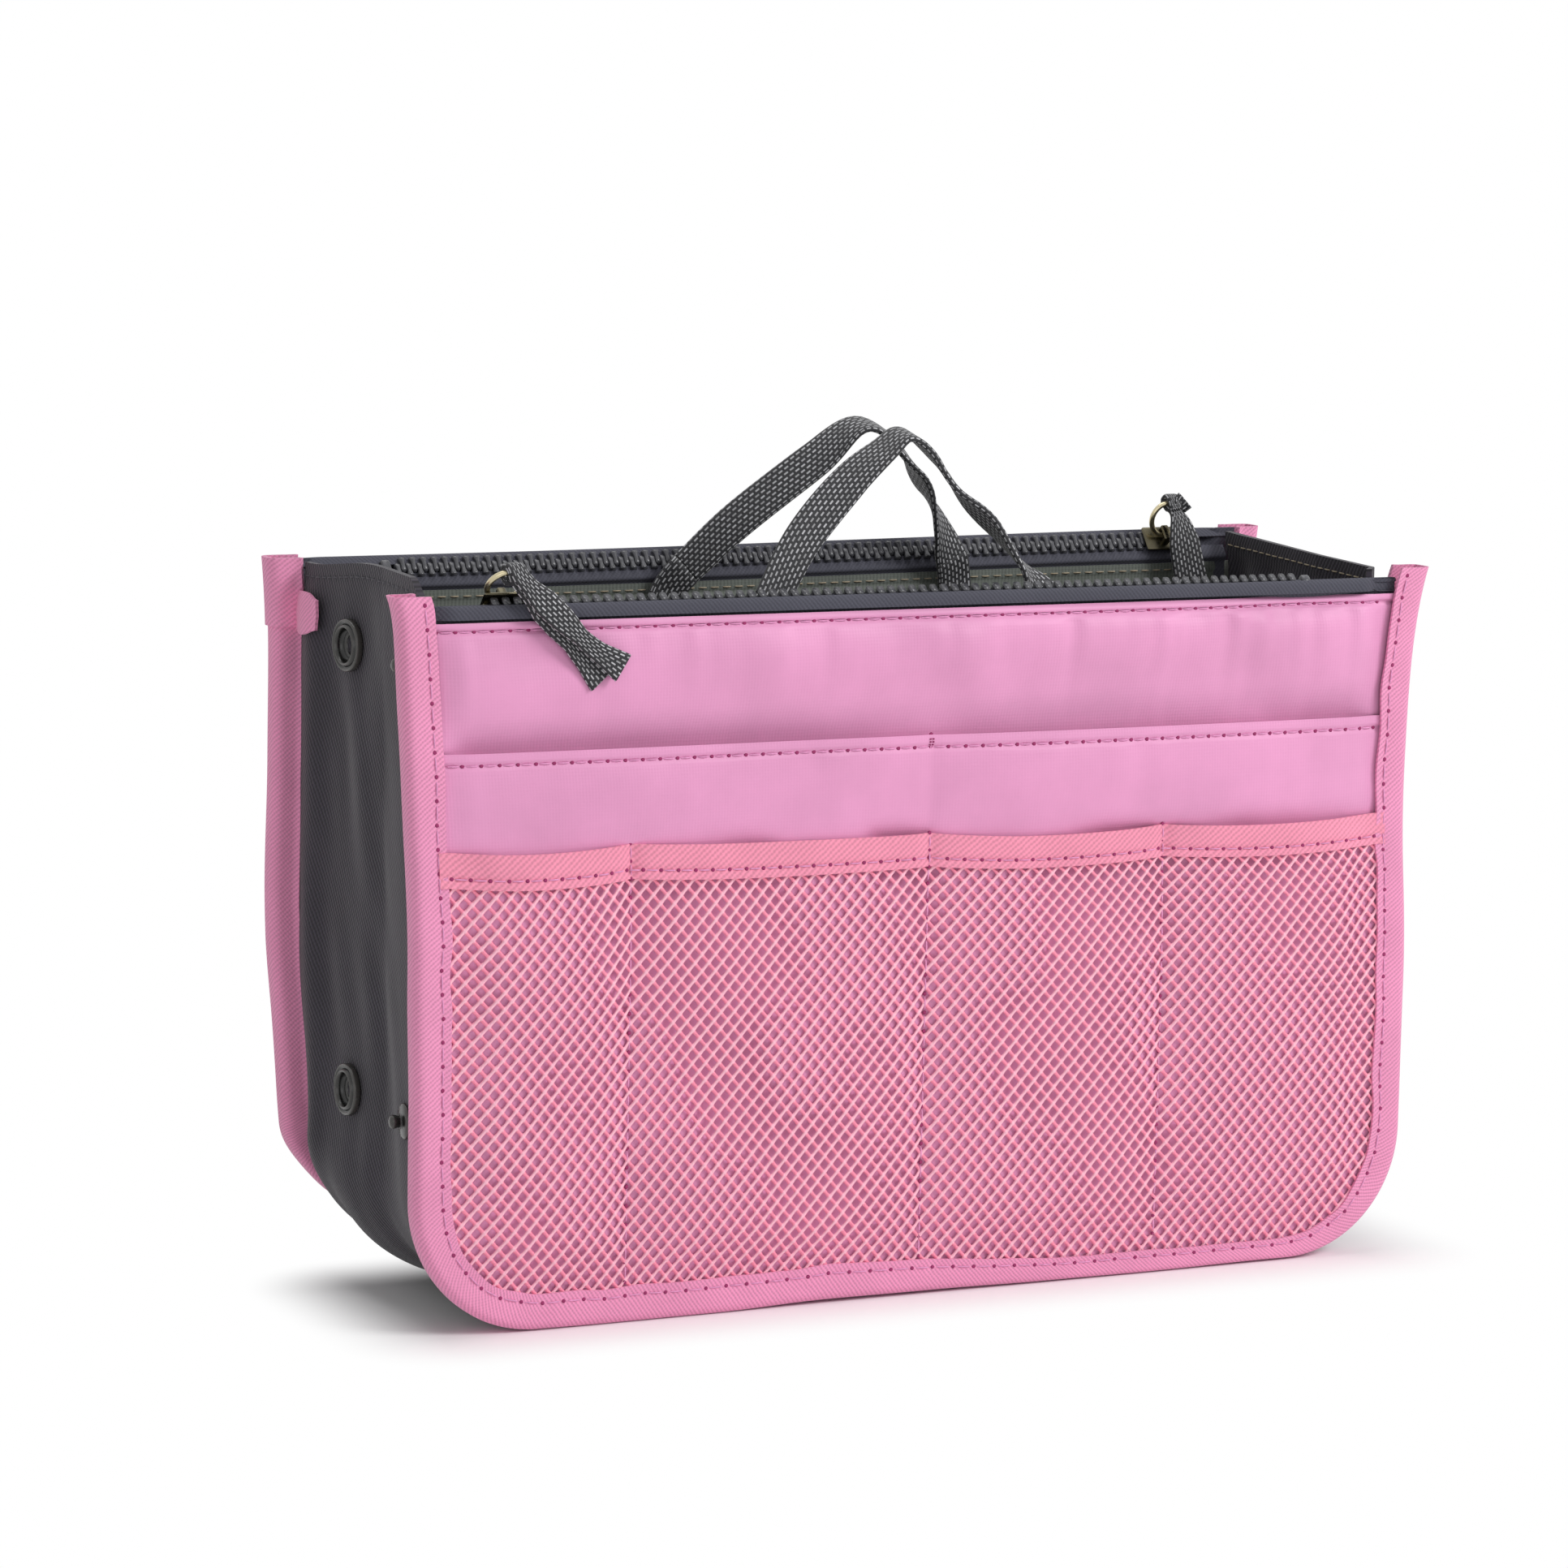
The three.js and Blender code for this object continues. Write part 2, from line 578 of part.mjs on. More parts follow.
function makeGusset() {
  const gusset = new THREE.Group();
  const add = (name, geometry) => gusset.add(piece(name, geometry, "greyTwill"));
  const frontRun = [-SEAM_Y, FOLD_Y - FOLD_GAP];
  const middleRun = [FOLD_Y + FOLD_GAP, BAND_Y - FOLD_GAP];
  for (const [name, side] of [["left", -1], ["right", 1]]) {
    add(`${name}_front_fold`, sidePanel(side, ...frontRun, STUD_Y, STUD_HOLE));
    add(`${name}_middle_fold`, sidePanel(side, ...middleRun, SOCKET_Y, SOCKET_HOLE));
    add(`${name}_corner`, cornerPiece(side));
    for (const [level, z] of Object.entries(SNAP_Z)) {
      gusset.add(snapHalf(`${name}_${level}_stud`, STUD_PROFILE, side, STUD_Y, z));
      gusset.add(snapHalf(`${name}_${level}_socket`, SOCKET_PROFILE, side, SOCKET_Y, z));
    }
  }
  const floor = [GUSSET_LOW, GUSSET_LOW + SHEET];
  const floorX = [-CORNER_X + GAP, CORNER_X - GAP];
  add("bottom_front_fold", block(floorX, frontRun, floor));
  add("bottom_middle_fold", block(floorX, middleRun, floor));
  add("rear_band", rearBand());
  return gusset;
}

const pocketShape = wingOutline(BINDING_WIDTH + GAP, HEM_TOP - HEM_TALL - GAP);
const plainPocket = layer(pocketShape, LOWER_POCKET);
const netPocket = cut(plainPocket, ...netHoles());

const organizer = new THREE.Group();
organizer.name = "travel_cosmetic_organizer";
const frontWing = makeWing("front", {
  loop: FRONT_LOOP,
  ends: ["left", "right"],
  ringWay: FRONT_RING_WAY,
  pull: frontPull(),
  lowerPocket: netPocket,
  lowerFinish: "pinkNet",
});
const backWing = makeWing("back", {
  loop: BACK_LOOP,
  ends: ["right", "left"],
  ringWay: BACK_RING_WAY,
  pull: backPull(),
  lowerPocket: plainPocket,
  lowerFinish: "pinkNylon",
});
backWing.rotation.z = Math.PI;
organizer.add(frontWing, backWing, makeGusset());

export default organizer;
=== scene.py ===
"""Travel cosmetic organizer: nylon, net, tape, zips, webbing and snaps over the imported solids.

A wing is one zipped side of the organizer. Points on a wing are written in the wing's own frame, in
millimetres: x along it, out away from its inner face, z up. The gusset is the strip of twill
between the wings, and points on it are written by the distance along that strip and across it.
"""
import math

import bpy
import numpy as np
from mathutils import Matrix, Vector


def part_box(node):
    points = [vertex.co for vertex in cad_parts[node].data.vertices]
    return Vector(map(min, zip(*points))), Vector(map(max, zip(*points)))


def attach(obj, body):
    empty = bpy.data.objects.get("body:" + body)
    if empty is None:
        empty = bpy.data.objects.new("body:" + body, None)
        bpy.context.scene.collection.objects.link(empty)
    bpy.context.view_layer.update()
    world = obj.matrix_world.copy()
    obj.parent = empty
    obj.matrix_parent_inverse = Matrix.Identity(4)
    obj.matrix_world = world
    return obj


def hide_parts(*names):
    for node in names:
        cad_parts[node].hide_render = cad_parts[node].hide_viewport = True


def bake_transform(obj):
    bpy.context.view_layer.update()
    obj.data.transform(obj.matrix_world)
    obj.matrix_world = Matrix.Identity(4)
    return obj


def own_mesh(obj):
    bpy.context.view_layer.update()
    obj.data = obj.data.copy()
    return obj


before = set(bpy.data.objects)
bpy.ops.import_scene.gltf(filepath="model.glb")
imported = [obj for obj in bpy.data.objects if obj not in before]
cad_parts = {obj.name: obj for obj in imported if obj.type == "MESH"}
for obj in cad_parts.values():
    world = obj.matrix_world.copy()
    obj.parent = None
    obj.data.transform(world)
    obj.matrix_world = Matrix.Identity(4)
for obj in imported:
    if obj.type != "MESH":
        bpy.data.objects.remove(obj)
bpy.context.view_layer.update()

bl_info = {
    "name": "Travel Cosmetic Organizer",
    "version": (1, 0, 0),
    "blender": (4, 5, 0),
    "location": "3D View > Sidebar > Organizer",
    "description": "Builds a folding fabric organizer with zipped wings, net pockets and webbing handles",
    "category": "Add Mesh",
}

MM = 0.001
FLOOR = -0.2 * MM


def solid_box(name):
    """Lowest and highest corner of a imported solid, in millimetres."""
    return np.array(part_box(name)) / MM


# Wing: the way each side faces, half its width, its height, the depth of its inner face, the radius of its
# lower corners, and the width of the binding's lip outside and inside
SIDES = {"front": 1.0, "back": -1.0}
HALF = solid_box("front_binding")[1, 0]
TOP = solid_box("front_binding")[1, 2]
INNER_FACE = -solid_box("front_inner_panel")[1, 1]
CORNER = 33.0
LIP = 9.0
INNER_LIP = 7.6
# Heights of the layers' edges, the seams of each lower pocket, and how far out each layer is sewn down
PANEL_TOP = solid_box("front_outer_panel")[1, 2]
LINING_TOP = solid_box("front_inner_panel")[1, 2]
SLIP_TOP = solid_box("front_slip_pocket")[1, 2]
HEM_LOW, HEM_TOP = solid_box("front_pocket_hem")[:, 2]
NET_TOP = HEM_LOW + 2.0
SEAMS = {"front": (-82.7, 0.0, 66.9), "back": (0.0,)}
PANEL_OUT = 4.5
SLIP_OUT = 4.9
NET_OUT = 5.3
# How far inside the outline the cloth is cut, under the binding
CLOTH_INSET = 3.5

# Hollows of a panel under its zip's pull, at rest and at the end of the slide: their depth, their middle
# and their reach, along the wing and up it
PULL_HOLLOWS = ((1.5, (-104.0, 163.0), (11.0, 5.5)), (3.4, (109.0, 164.0), (19.0, 11.0)))

# Inner pocket: its low and high edge, those of its elastic, and half its width
INNER_POCKET = (34.0, 128.0)
ELASTIC = (127.0, 134.3)
INNER_POCKET_HALF = 112.0

# Thickness of the binding tape, the zip tape, the hem tape and elastic, and the net's strands
TAPE_THICK = 0.8
ZIP_TAPE_THICK = 0.6
BAND_THICK = 0.9
NET_THICK = 0.25

# Distance of each row of stitches from the edge it follows: the panel's top, the slip pocket's mouth, the
# hem tape's lower edge, the lining's top, which its row spans by so much either way, and the gusset's top
PANEL_ROW = 2.1
SLIP_ROW = 2.9
HEM_ROW = 2.3
LINING_ROW = 1.7
LINING_ROW_HALF = 118.0
GUSSET_ROW = 3.2

# Slack of the standing organizer: how far its left side draws in, in front and at the back, how far the
# front's upper right does, how far the back left corner lifts, how far the back wing rises towards its
# right end and at its left end, and how far the hem sinks on the right
FRONT_IN = 4.9
BACK_IN = 4.5
RIGHT_IN = 3.0
CORNER_UP = 10.5
BACK_UP = 1.7
BACK_LEFT_UP = 0.8
HEM_SINK = 2.2

# Zip: its sloping plane as (out, up), the top of its rolled tape, half the length of its tapes, its end
# stop, its teeth, and the ring on its slider
ZIP_LOW = np.array([-1.6, 170.6])
ZIP_SLOPE = np.array([0.645, 0.7642])
ZIP_FACE = np.array([-0.7642, 0.645])
ZIP_ROLL = {"front": 175.4, "back": 177.5}
ZIP_HALF = {"outer": 136.0, "inner": 131.0}
END_STOP = (108.4, 111.0)
TOOTH_START = -115.2
TOOTH_PITCH = 2.9
TOOTH_COUNT = 77
SLIDER_X = -112.0
RING_HINGE = np.array([-0.911, 176.3])
RING_RADIUS = 4.6
RING_WIRE = 0.7
RING_WAY = {"front": np.array([0.66, 0.7513]), "back": np.array([-0.25, 0.968])}

# Handles: points along the middle of the webbing, the length over which a sewn end turns to its loop,
# and a sewn end's path as (out, up)
LOOPS = {
    "front": [(-39.2, -5.5, 172.9), (-29.8, -7.8, 187.5), (-16.6, -10.0, 201), (-6.4, -11.2, 208.8),
              (-0.8, -11.5, 212.4), (5.4, -11.3, 208.6), (14, -9.8, 198), (23, -8.2, 189),
              (35.5, -5.5, 172.9)],
    "back": [(-45.5, -5.5, 172.9), (-38.5, -7.8, 187), (-28.5, -10.2, 201), (-15.6, -11.5, 209.2),
             (-2.5, -10.4, 200), (17.5, -7.8, 185), (30.5, -5.5, 172.9)],
}
TAB_LEAN = 7.0
SEWN_END = [(-1.0, 150.0), (-1.0, 161.5), (-2.8, 164.8), (-5.4, 171.6)]

# Gusset: half its width, its lowest and highest edge and the radius of its corners; its seams, its fold and
# the edge of its rear band, in y; and the places of its snaps
GUSSET_X = 132.2
GUSSET_LOW = 3.0
GUSSET_TOP = 177.0
GUSSET_CORNER = 30.0
SEAM_Y = 38.0
FOLD_Y = -11.0
BAND_Y = 16.0
SNAP_HEIGHTS = {"upper": 159.5, "lower": 50.5}
SOCKET_Y = 8.4
STUD_Y = -30.4

# Camera fitted to the photograph: its place in metres, its yaw, pitch and roll in degrees, its focal
# length and the photograph's width in pixels, and the sensor's width in millimetres
CAMERA_PLACE = (-0.5940, -1.1826, 0.3134)
CAMERA_TURNS = (25.97, -8.25, 1.25)
FOCAL_PIXELS = 6520.0
PHOTO_PIXELS = 1932.0
SENSOR = 36.0


def length_property(name, description, value, low, high):
    """A length that a user may change, given here in millimetres."""
    return bpy.props.FloatProperty(
        name=name, description=description, default=value * MM, min=low * MM, max=high * MM,
        subtype="DISTANCE", unit="LENGTH", precision=5)


def hex_property(name, description, code):
    """A colour that a user may change, as an sRGB hex value."""
    return bpy.props.StringProperty(name=name, description=description, default=code)


class OrganizerSizes(bpy.types.PropertyGroup):
    """Sizes of the cloth, thread and webbing."""

    net_across: length_property("Net Mesh Width", "Distance between net holes along a row", 3.75, 2, 12)
    net_up: length_property("Net Mesh Height", "Distance between net holes up a column", 4.2, 2, 12)
    net_hole: bpy.props.FloatProperty(
        name="Net Hole Share", description="Size of a hole against the size of its mesh",
        default=0.665, min=0.3, max=0.85, subtype="FACTOR")
    stitch: length_property("Stitch Length", "Distance from one needle hole to the next", 4.7, 2, 8)
    thread: length_property("Thread Thickness", "Thickness of the sewing thread", 0.42, 0.2, 1.2)
    cloth: length_property("Cloth Thickness", "Thickness of the nylon and the lining", 0.5, 0.2, 1.0)
    webbing_width: length_property("Webbing Width", "Width of the handle webbing", 9.6, 6, 12)
    webbing_thickness: length_property("Webbing Thickness", "Thickness of the handle webbing", 1.5, 0.8, 2)


class OrganizerColours(bpy.types.PropertyGroup):
    """Colours of the cloth, trim and hardware, as sRGB hex values."""

    nylon: hex_property("Nylon", "Colour of the pocket cloth", "#E39AC4")
    binding: hex_property("Binding", "Colour of the tape round a wing", "#EC98BE")
    net: hex_property("Net", "Colour of the net's falling strands", "#FA90AC")
    # Painted highlight: the rising strands are drawn in this paler colour, as where light catches them
    net_highlight: hex_property("Net Top", "Colour of the net's rising strands", "#FFC0D2")
    hem: hex_property("Hem Tape", "Colour of the tape along the pocket's top", "#F095AF")
    twill: hex_property("Gusset", "Colour of the gusset's twill", "#2F2B34")
    lining: hex_property("Lining", "Colour of the inside cloth", "#6D726C")
    zip_tape: hex_property("Zip Tape", "Colour of the zip's woven tape", "#484853")
    teeth: hex_property("Zip Teeth", "Colour of the moulded teeth", "#4A4A4F")
    metal: hex_property("Zip Metal", "Colour of the plated slider and ring", "#DCD0AC")
    webbing: hex_property("Webbing", "Colour of the webbing's ground", "#1C1C20")
    speckle: hex_property("Webbing Speckle", "Colour of the webbing's pale yarn", "#C2C2C6")
    snap: hex_property("Snaps", "Colour of the press studs", "#1B1A19")
    # Painted shade: the needle holes are drawn in this dark colour, which the bar tack's thread shares
    dark_thread_and_hole_shade: hex_property("Pink Thread", "Colour of the thread on pink cloth", "#9A2F66")
    grey_thread: hex_property("Grey Thread", "Colour of the thread on the gusset", "#504D54")
    beige_thread: hex_property("Beige Thread", "Colour of the thread inside", "#A89B84")


def sizes():
    """The scene's sizes."""
    return bpy.context.scene.organizer_sizes


def colours():
    """The scene's colours."""
    return bpy.context.scene.organizer_colours


# Helpers for shapes

def ease(share):
    """Smooth step: 0 at and below 0, 1 at and above 1, level at both ends."""
    share = np.clip(share, 0.0, 1.0)
    return share * share * (3.0 - 2.0 * share)


def noise(across, up, seed):
    """Smooth noise from -1 to 1: seeded values on whole-number crossings, eased between them."""
    across, up = np.broadcast_arrays(np.asarray(across, float), np.asarray(up, float))
    table = np.random.default_rng(seed).uniform(-1.0, 1.0, (64, 64))
    i = np.floor(across).astype(int)
    j = np.floor(up).astype(int)
    a = ease(across - i)
    b = ease(up - j)
    i0, i1 = i % 64, (i + 1) % 64
    j0, j1 = j % 64, (j + 1) % 64
    low = table[i0, j0] * (1 - a) + table[i1, j0] * a
    high = table[i0, j1] * (1 - a) + table[i1, j1] * a
    return low * (1 - b) + high * b


def smooth_path(points, count):
    """Catmull-Rom curve through the points: cubic pieces whose slope at a point is half the step
    from the point before it to the one after."""
    p = np.asarray(points, float)
    p = np.vstack([2 * p[0] - p[1], p, 2 * p[-1] - p[-2]])
    t = np.linspace(0, len(p) - 3, count)
    i = np.minimum(t.astype(int), len(p) - 4)
    f = (t - i)[:, None]
    a, b, c, d = p[i], p[i + 1], p[i + 2], p[i + 3]
    square, cube = 2 * a - 5 * b + 4 * c - d, 3 * b - a - 3 * c + d
    return 0.5 * (2 * b + (c - a) * f + square * f ** 2 + cube * f ** 3)


def distances(points):
    """Distance along a polyline to each of its points: the running sum of its steps."""
    return np.concatenate([[0.0], np.cumsum(np.linalg.norm(np.diff(points, axis=0), axis=1))])


def resampled(points, count):
    """Points at even distances along a polyline, found by straight interpolation of its length."""
    p = np.asarray(points, float)
    run = distances(p)
    at = np.linspace(0.0, run[-1], count)
    return np.stack([np.interp(at, run, p[:, k]) for k in range(p.shape[1])], -1), at


def unit(vectors):
    """Vectors scaled to length one."""
    return vectors / np.maximum(np.linalg.norm(vectors, axis=-1, keepdims=True), 1e-9)


def placed(points, side):
    """Wing frame to shared frame: the front wing faces -Y, and the back wing is that turned half round Z."""
    x, out, z = np.moveaxis(np.asarray(points, float), -1, 0)
    turn = SIDES[side]
    return np.stack([turn * x, -turn * (INNER_FACE + out), z], -1)


def grid_faces(rows, columns, wrap_rows=False, wrap_columns=False):
    """Quads of a grid, as point numbers and as numbers of map points, which don't wrap."""
    i = np.arange(rows if wrap_rows else rows - 1)
    j = np.arange(columns if wrap_columns else columns - 1)
    i, j = (a.ravel() for a in np.meshgrid(i, j, indexing="ij"))
    i = np.stack([i, i, i + 1, i + 1], 1)
    j = np.stack([j, j + 1, j + 1, j], 1)
    return (i % rows) * columns + j % columns, i * (columns + wrap_columns) + j


def swollen(points, faces):
    """Sign of the volume that quads enclose: above 0 where they point outwards."""
    a, b, c, d = (points[faces[:, k]] for k in range(4))
    return np.sum(np.cross(c - a, d - b) * ((a + b + c + d) / 4 - points.mean(0)))


def settled(points):
    """The standing organizer's slack, in smooth steps: its left side draws in below the top, in front
    from high up and at the back only near the floor, where that corner lifts too. The front's upper
    right draws in, its hem sinks on the right, and the back wing stands a little higher, more so
    towards the right."""
    x, y, z = np.moveaxis(points, -1, 0)
    back = np.clip((y + 40.0) / 80.0, 0.0, 1.0)
    left, right = ease((-x - 20.0) / 110.0), ease((x - 20.0) / 110.0)
    front = ease((-34.5 - y) / 3.5)
    drawn = FRONT_IN * front * ease((TOP - z) / 90.0) + BACK_IN * back * ease((85.0 - z) / 60.0)
    narrowed = RIGHT_IN * front * ease((z - 70.0) / 60.0) * right
    lifted = CORNER_UP * back ** 2 * ease((-x - 45.0) / 80.0) * ease((45.0 - z) / 35.0)
    raised = (BACK_LEFT_UP + BACK_UP * ease((x + 100.0) / 240.0)) * back * np.clip(z / TOP, 0.0, 1.0)
    sunk = HEM_SINK * front * ease((x + 50.0) / 90.0) * np.exp(-((z - HEM_TOP) / 17.0) ** 2)
    return np.stack([x + drawn * left - narrowed, y, z + lifted + raised - sunk], -1)


def make_object(name, points, faces, cloth_map=None, map_faces=None, caps=(), facing=None, part=None):
    """A mesh of millimetre points. Its faces are turned along facing, or outwards where the mesh, or its
    first part of so many points, is closed."""
    points = settled(np.asarray(points, float).reshape(-1, 3))
    if facing is None:
        first = faces if part is None else faces[faces.max(1) < part]
        outward = swollen(points[:part], first)
    else:
        a, b, c, d = (points[faces[:, k]] for k in range(4))
        outward = np.cross(c - a, d - b).sum(0) @ np.asarray(facing, float)
    if outward < 0:
        faces = faces[:, ::-1]
        map_faces = None if map_faces is None else map_faces[:, ::-1]
        caps = [cap[::-1] for cap in caps]
    mesh = bpy.data.meshes.new(name)
    mesh.from_pydata(points * MM, [], [*faces.tolist(), *[np.asarray(cap).tolist() for cap in caps]])
    if cloth_map is not None:
        flat = np.asarray(cloth_map, float).reshape(-1, 2) * MM
        loops = flat[map_faces.ravel()]
        spare = np.zeros((sum(len(cap) for cap in caps), 2))
        layer = mesh.uv_layers.new(name="cloth")
        layer.data.foreach_set("uv", np.vstack([loops, spare]).ravel())
    mesh.polygons.foreach_set("use_smooth", np.ones(len(mesh.polygons), bool))
    mesh.update()
    made = bpy.data.objects.new(name, mesh)
    bpy.context.collection.objects.link(made)
    return made


def sheet_object(name, points, cloth_map, facing, thickness):
    """A sheet with its outer face on a grid of points: each point's inner partner lies thickness behind it,
    against the surface's own direction, and a rim joins the two faces."""
    rows, columns = points.shape[:2]
    normal = unit(np.cross(np.gradient(points, axis=1), np.gradient(points, axis=0)))
    if normal.reshape(-1, 3).sum(0) @ np.asarray(facing, float) < 0:
        normal = -normal
    depth = np.broadcast_to(np.asarray(thickness, float) / MM, points.shape[:2])[..., None]
    both = np.concatenate([points.reshape(-1, 3), (points - normal * depth).reshape(-1, 3)])
    count = rows * columns
    grid, _ = grid_faces(rows, columns)
    number = np.arange(count).reshape(rows, columns)
    rim = np.concatenate([number[0], number[1:, -1], number[-1, -2::-1], number[-2:0:-1, 0]])
    after = np.roll(rim, -1)
    wall = np.stack([rim, rim + count, after + count, after], 1)
    faces = np.concatenate([grid, grid[:, ::-1] + count, wall])
    flat = np.asarray(cloth_map, float).reshape(-1, 2)
    made = make_object(name, both, faces, np.concatenate([flat, flat]), faces)
    made.data.set_sharp_from_angle(angle=math.radians(50))
    return made


def thicken(piece, thickness):
    """Solidify: a second face behind the first, joined at the rim."""
    wall = piece.modifiers.new("Thickness", "SOLIDIFY")
    wall.thickness = thickness
    wall.offset = -1.0
    wall.use_even_offset = False


def tube_object(name, rings, cloth_map=None, loop=False):
    """A closed section carried along a path: rings of points joined in turn, with both ends capped."""
    rows, columns = rings.shape[:2]
    faces, map_faces = grid_faces(rows, columns, wrap_rows=loop, wrap_columns=True)
    last = (rows - 1) * columns
    caps = [] if loop else [np.arange(columns)[::-1], last + np.arange(columns)]
    return make_object(name, rings, faces, cloth_map, map_faces, caps)


def many_tubes(name, rings, cloth_map=None):
    """Many short capped tubes in one mesh: rings has the tube, the ring, the point and its place."""
    count, rows, columns = rings.shape[:3]
    faces, map_faces = grid_faces(rows, columns, wrap_columns=True)
    step = rows * columns
    each = np.arange(count)[:, None, None]
    ends = np.stack([np.arange(columns)[::-1], step - columns + np.arange(columns)])
    walls = (faces[None] + each * step).reshape(-1, 4)
    mapped = (map_faces[None] + each * rows * (columns + 1)).reshape(-1, 4)
    caps = (ends[None] + each * step).reshape(-1, columns)
    return make_object(name, rings, walls, cloth_map, mapped, caps, part=step)


def dress(piece, body, finish, slot, *nodes):
    """Gives a piece its material, the body it rides on, and the solids it stands for; slot is not used."""
    piece.data.materials.append(material(finish))
    if body:
        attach(piece, body)
    if nodes:
        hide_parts(*nodes)


# Helpers for materials

def linear(code):
    """Linear red, green, blue and alpha of an sRGB hex value."""
    share = np.array([int(code[k:k + 2], 16) for k in (1, 3, 5)]) / 255.0
    values = np.where(share <= 0.04045, share / 12.92, ((share + 0.055) / 1.055) ** 2.4)
    return (*values.tolist(), 1.0)


def shade(code, by):
    """An sRGB hex value made darker, or lighter where by is above 1."""
    parts = [min(255, round(int(code[k:k + 2], 16) * by)) for k in (1, 3, 5)]
    return "#" + "".join(f"{part:02X}" for part in parts)


def plug(tree, made, inputs):
    """Fills a node's sockets, each with a value or from the socket that feeds it."""
    for key, value in inputs.items():
        if isinstance(value, bpy.types.NodeSocket):
            tree.links.new(value, made.inputs[key])
        else:
            made.inputs[key].default_value = value


def node(tree, kind, settings=None, inputs=None, stops=()):
    """Adds one node: settings are its own values, inputs fill its sockets, and stops are the places
    and hex values of a colour ramp."""
    made = tree.nodes.new(kind)
    for key, value in (settings or {}).items():
        setattr(made, key, value)
    plug(tree, made, inputs or {})
    for k, (place, code) in enumerate(stops):
        made.color_ramp.elements[k].position = place
        made.color_ramp.elements[k].color = linear(code)
    return made


def new_material(name):
    """An empty material, its node tree and its Principled shader, already joined to the output."""
    made = bpy.data.materials.new(name)
    made.use_nodes = True
    tree = made.node_tree
    tree.nodes.clear()
    shader = node(tree, "ShaderNodeBsdfPrincipled")
    node(tree, "ShaderNodeOutputMaterial", inputs={"Surface": shader.outputs[0]})
    return made, tree, shader


def bands(pitch):
    """Scale of a Wave Texture whose bands stand pitch millimetres apart: it has 20 radians to a unit."""
    return math.tau / 20.0 / (pitch * MM)


def ribbed_cloth(name, code, pitch, turn, depth, contrast, rough, sheen, blotch=0.06):
    """Woven cloth with slanting ribs: two sets of bands on the cloth map give its colour and bump."""
    made, tree, shader = new_material(name)
    place = node(tree, "ShaderNodeTexCoord").outputs["UV"]
    # The real ribs are finer; 0.9 to 1.4 mm apart is what shows in the render
    turned = node(tree, "ShaderNodeMapping", inputs={"Vector": place, "Rotation": (0, 0, turn)}).outputs[0]
    rib = node(tree, "ShaderNodeTexWave", {"bands_direction": "X"}, {
        "Vector": turned, "Scale": bands(pitch), "Distortion": 1.6, "Detail": 2.0, "Detail Scale": 2.0})
    yarn = node(tree, "ShaderNodeTexWave", {"bands_direction": "Y"}, {
        "Vector": turned, "Scale": bands(pitch * 0.8), "Distortion": 0.8, "Detail": 1.0})
    weave = node(tree, "ShaderNodeMath", {"operation": "MULTIPLY_ADD"}, {
        0: yarn.outputs["Fac"], 1: 0.35, 2: rib.outputs["Fac"]})
    patch = node(tree, "ShaderNodeTexNoise", inputs={
        "Vector": place, "Scale": 1 / (22 * MM), "Detail": 3.0})
    colour = node(tree, "ShaderNodeValToRGB", inputs={"Fac": weave.outputs[0]}, stops=(
        (0.15, shade(code, 1 - contrast)), (1.0, shade(code, 1 + contrast * 0.35))))
    tone = node(tree, "ShaderNodeMapRange", inputs={
        "Value": patch.outputs["Fac"], "From Min": 0.3, "From Max": 0.7,
        "To Min": 1 - blotch, "To Max": 1 + blotch})
    mixed = node(tree, "ShaderNodeVectorMath", {"operation": "SCALE"}, {
        "Vector": colour.outputs[0], "Scale": tone.outputs[0]})
    bump = node(tree, "ShaderNodeBump", inputs={
        "Strength": 0.6, "Distance": depth * MM, "Height": weave.outputs[0]})
    plug(tree, shader, {
        "Base Color": mixed.outputs[0], "Normal": bump.outputs[0], "Roughness": rough,
        "Sheen Weight": sheen, "Sheen Roughness": 0.4, "Specular IOR Level": 0.3})
    return made


def nylon_taffeta(name, mouth=False):
    """Nylon taffeta, plain woven from shiny filament: a soft satin glow and a grid finer than the eye sees.
    With a mouth, painted shade darkens the colour where another layer nearly touches it."""
    made, tree, shader = new_material(name)
    code = colours().nylon
    place = node(tree, "ShaderNodeTexCoord").outputs["UV"]
    # Real thread spacing is about 0.15 mm; 0.8 mm is the finest that shows in the render
    warp, weft = (node(tree, "ShaderNodeTexWave", {"bands_direction": way}, {
        "Vector": place, "Scale": bands(0.8), "Distortion": 1.2, "Detail": 2.0}) for way in ("X", "Y"))
    weave = node(tree, "ShaderNodeMath", {"operation": "ADD"}, {
        0: warp.outputs["Fac"], 1: weft.outputs["Fac"]})
    patch = node(tree, "ShaderNodeTexNoise", inputs={
        "Vector": place, "Scale": 1 / (30 * MM), "Detail": 4.0})
    dye_and_shade = node(tree, "ShaderNodeValToRGB", inputs={"Fac": patch.outputs["Fac"]}, stops=(
        (0.3, shade(code, 0.96)), (0.7, shade(code, 1.03)))).outputs[0]
    if mouth:
        # Painted shade: ambient occlusion darkens the colour in narrow gaps, such as behind the slip pocket's
        # mouth
        close = node(tree, "ShaderNodeAmbientOcclusion", {"samples": 6}, {"Distance": 2.5 * MM})
        depth = node(tree, "ShaderNodeMapRange", inputs={
            "Value": close.outputs["AO"], "From Min": 0.1, "From Max": 0.7, "To Min": 0.4, "To Max": 1.0})
        dye_and_shade = node(tree, "ShaderNodeVectorMath", {"operation": "SCALE"}, {
            "Vector": dye_and_shade, "Scale": depth.outputs[0]}).outputs[0]
    bump = node(tree, "ShaderNodeBump", inputs={
        "Strength": 0.25, "Distance": 0.05 * MM, "Height": weave.outputs[0]})
    plug(tree, shader, {
        "Base Color": dye_and_shade, "Normal": bump.outputs[0], "Roughness": 0.5,
        "Specular IOR Level": 0.35, "Sheen Weight": 0.1})
    return made


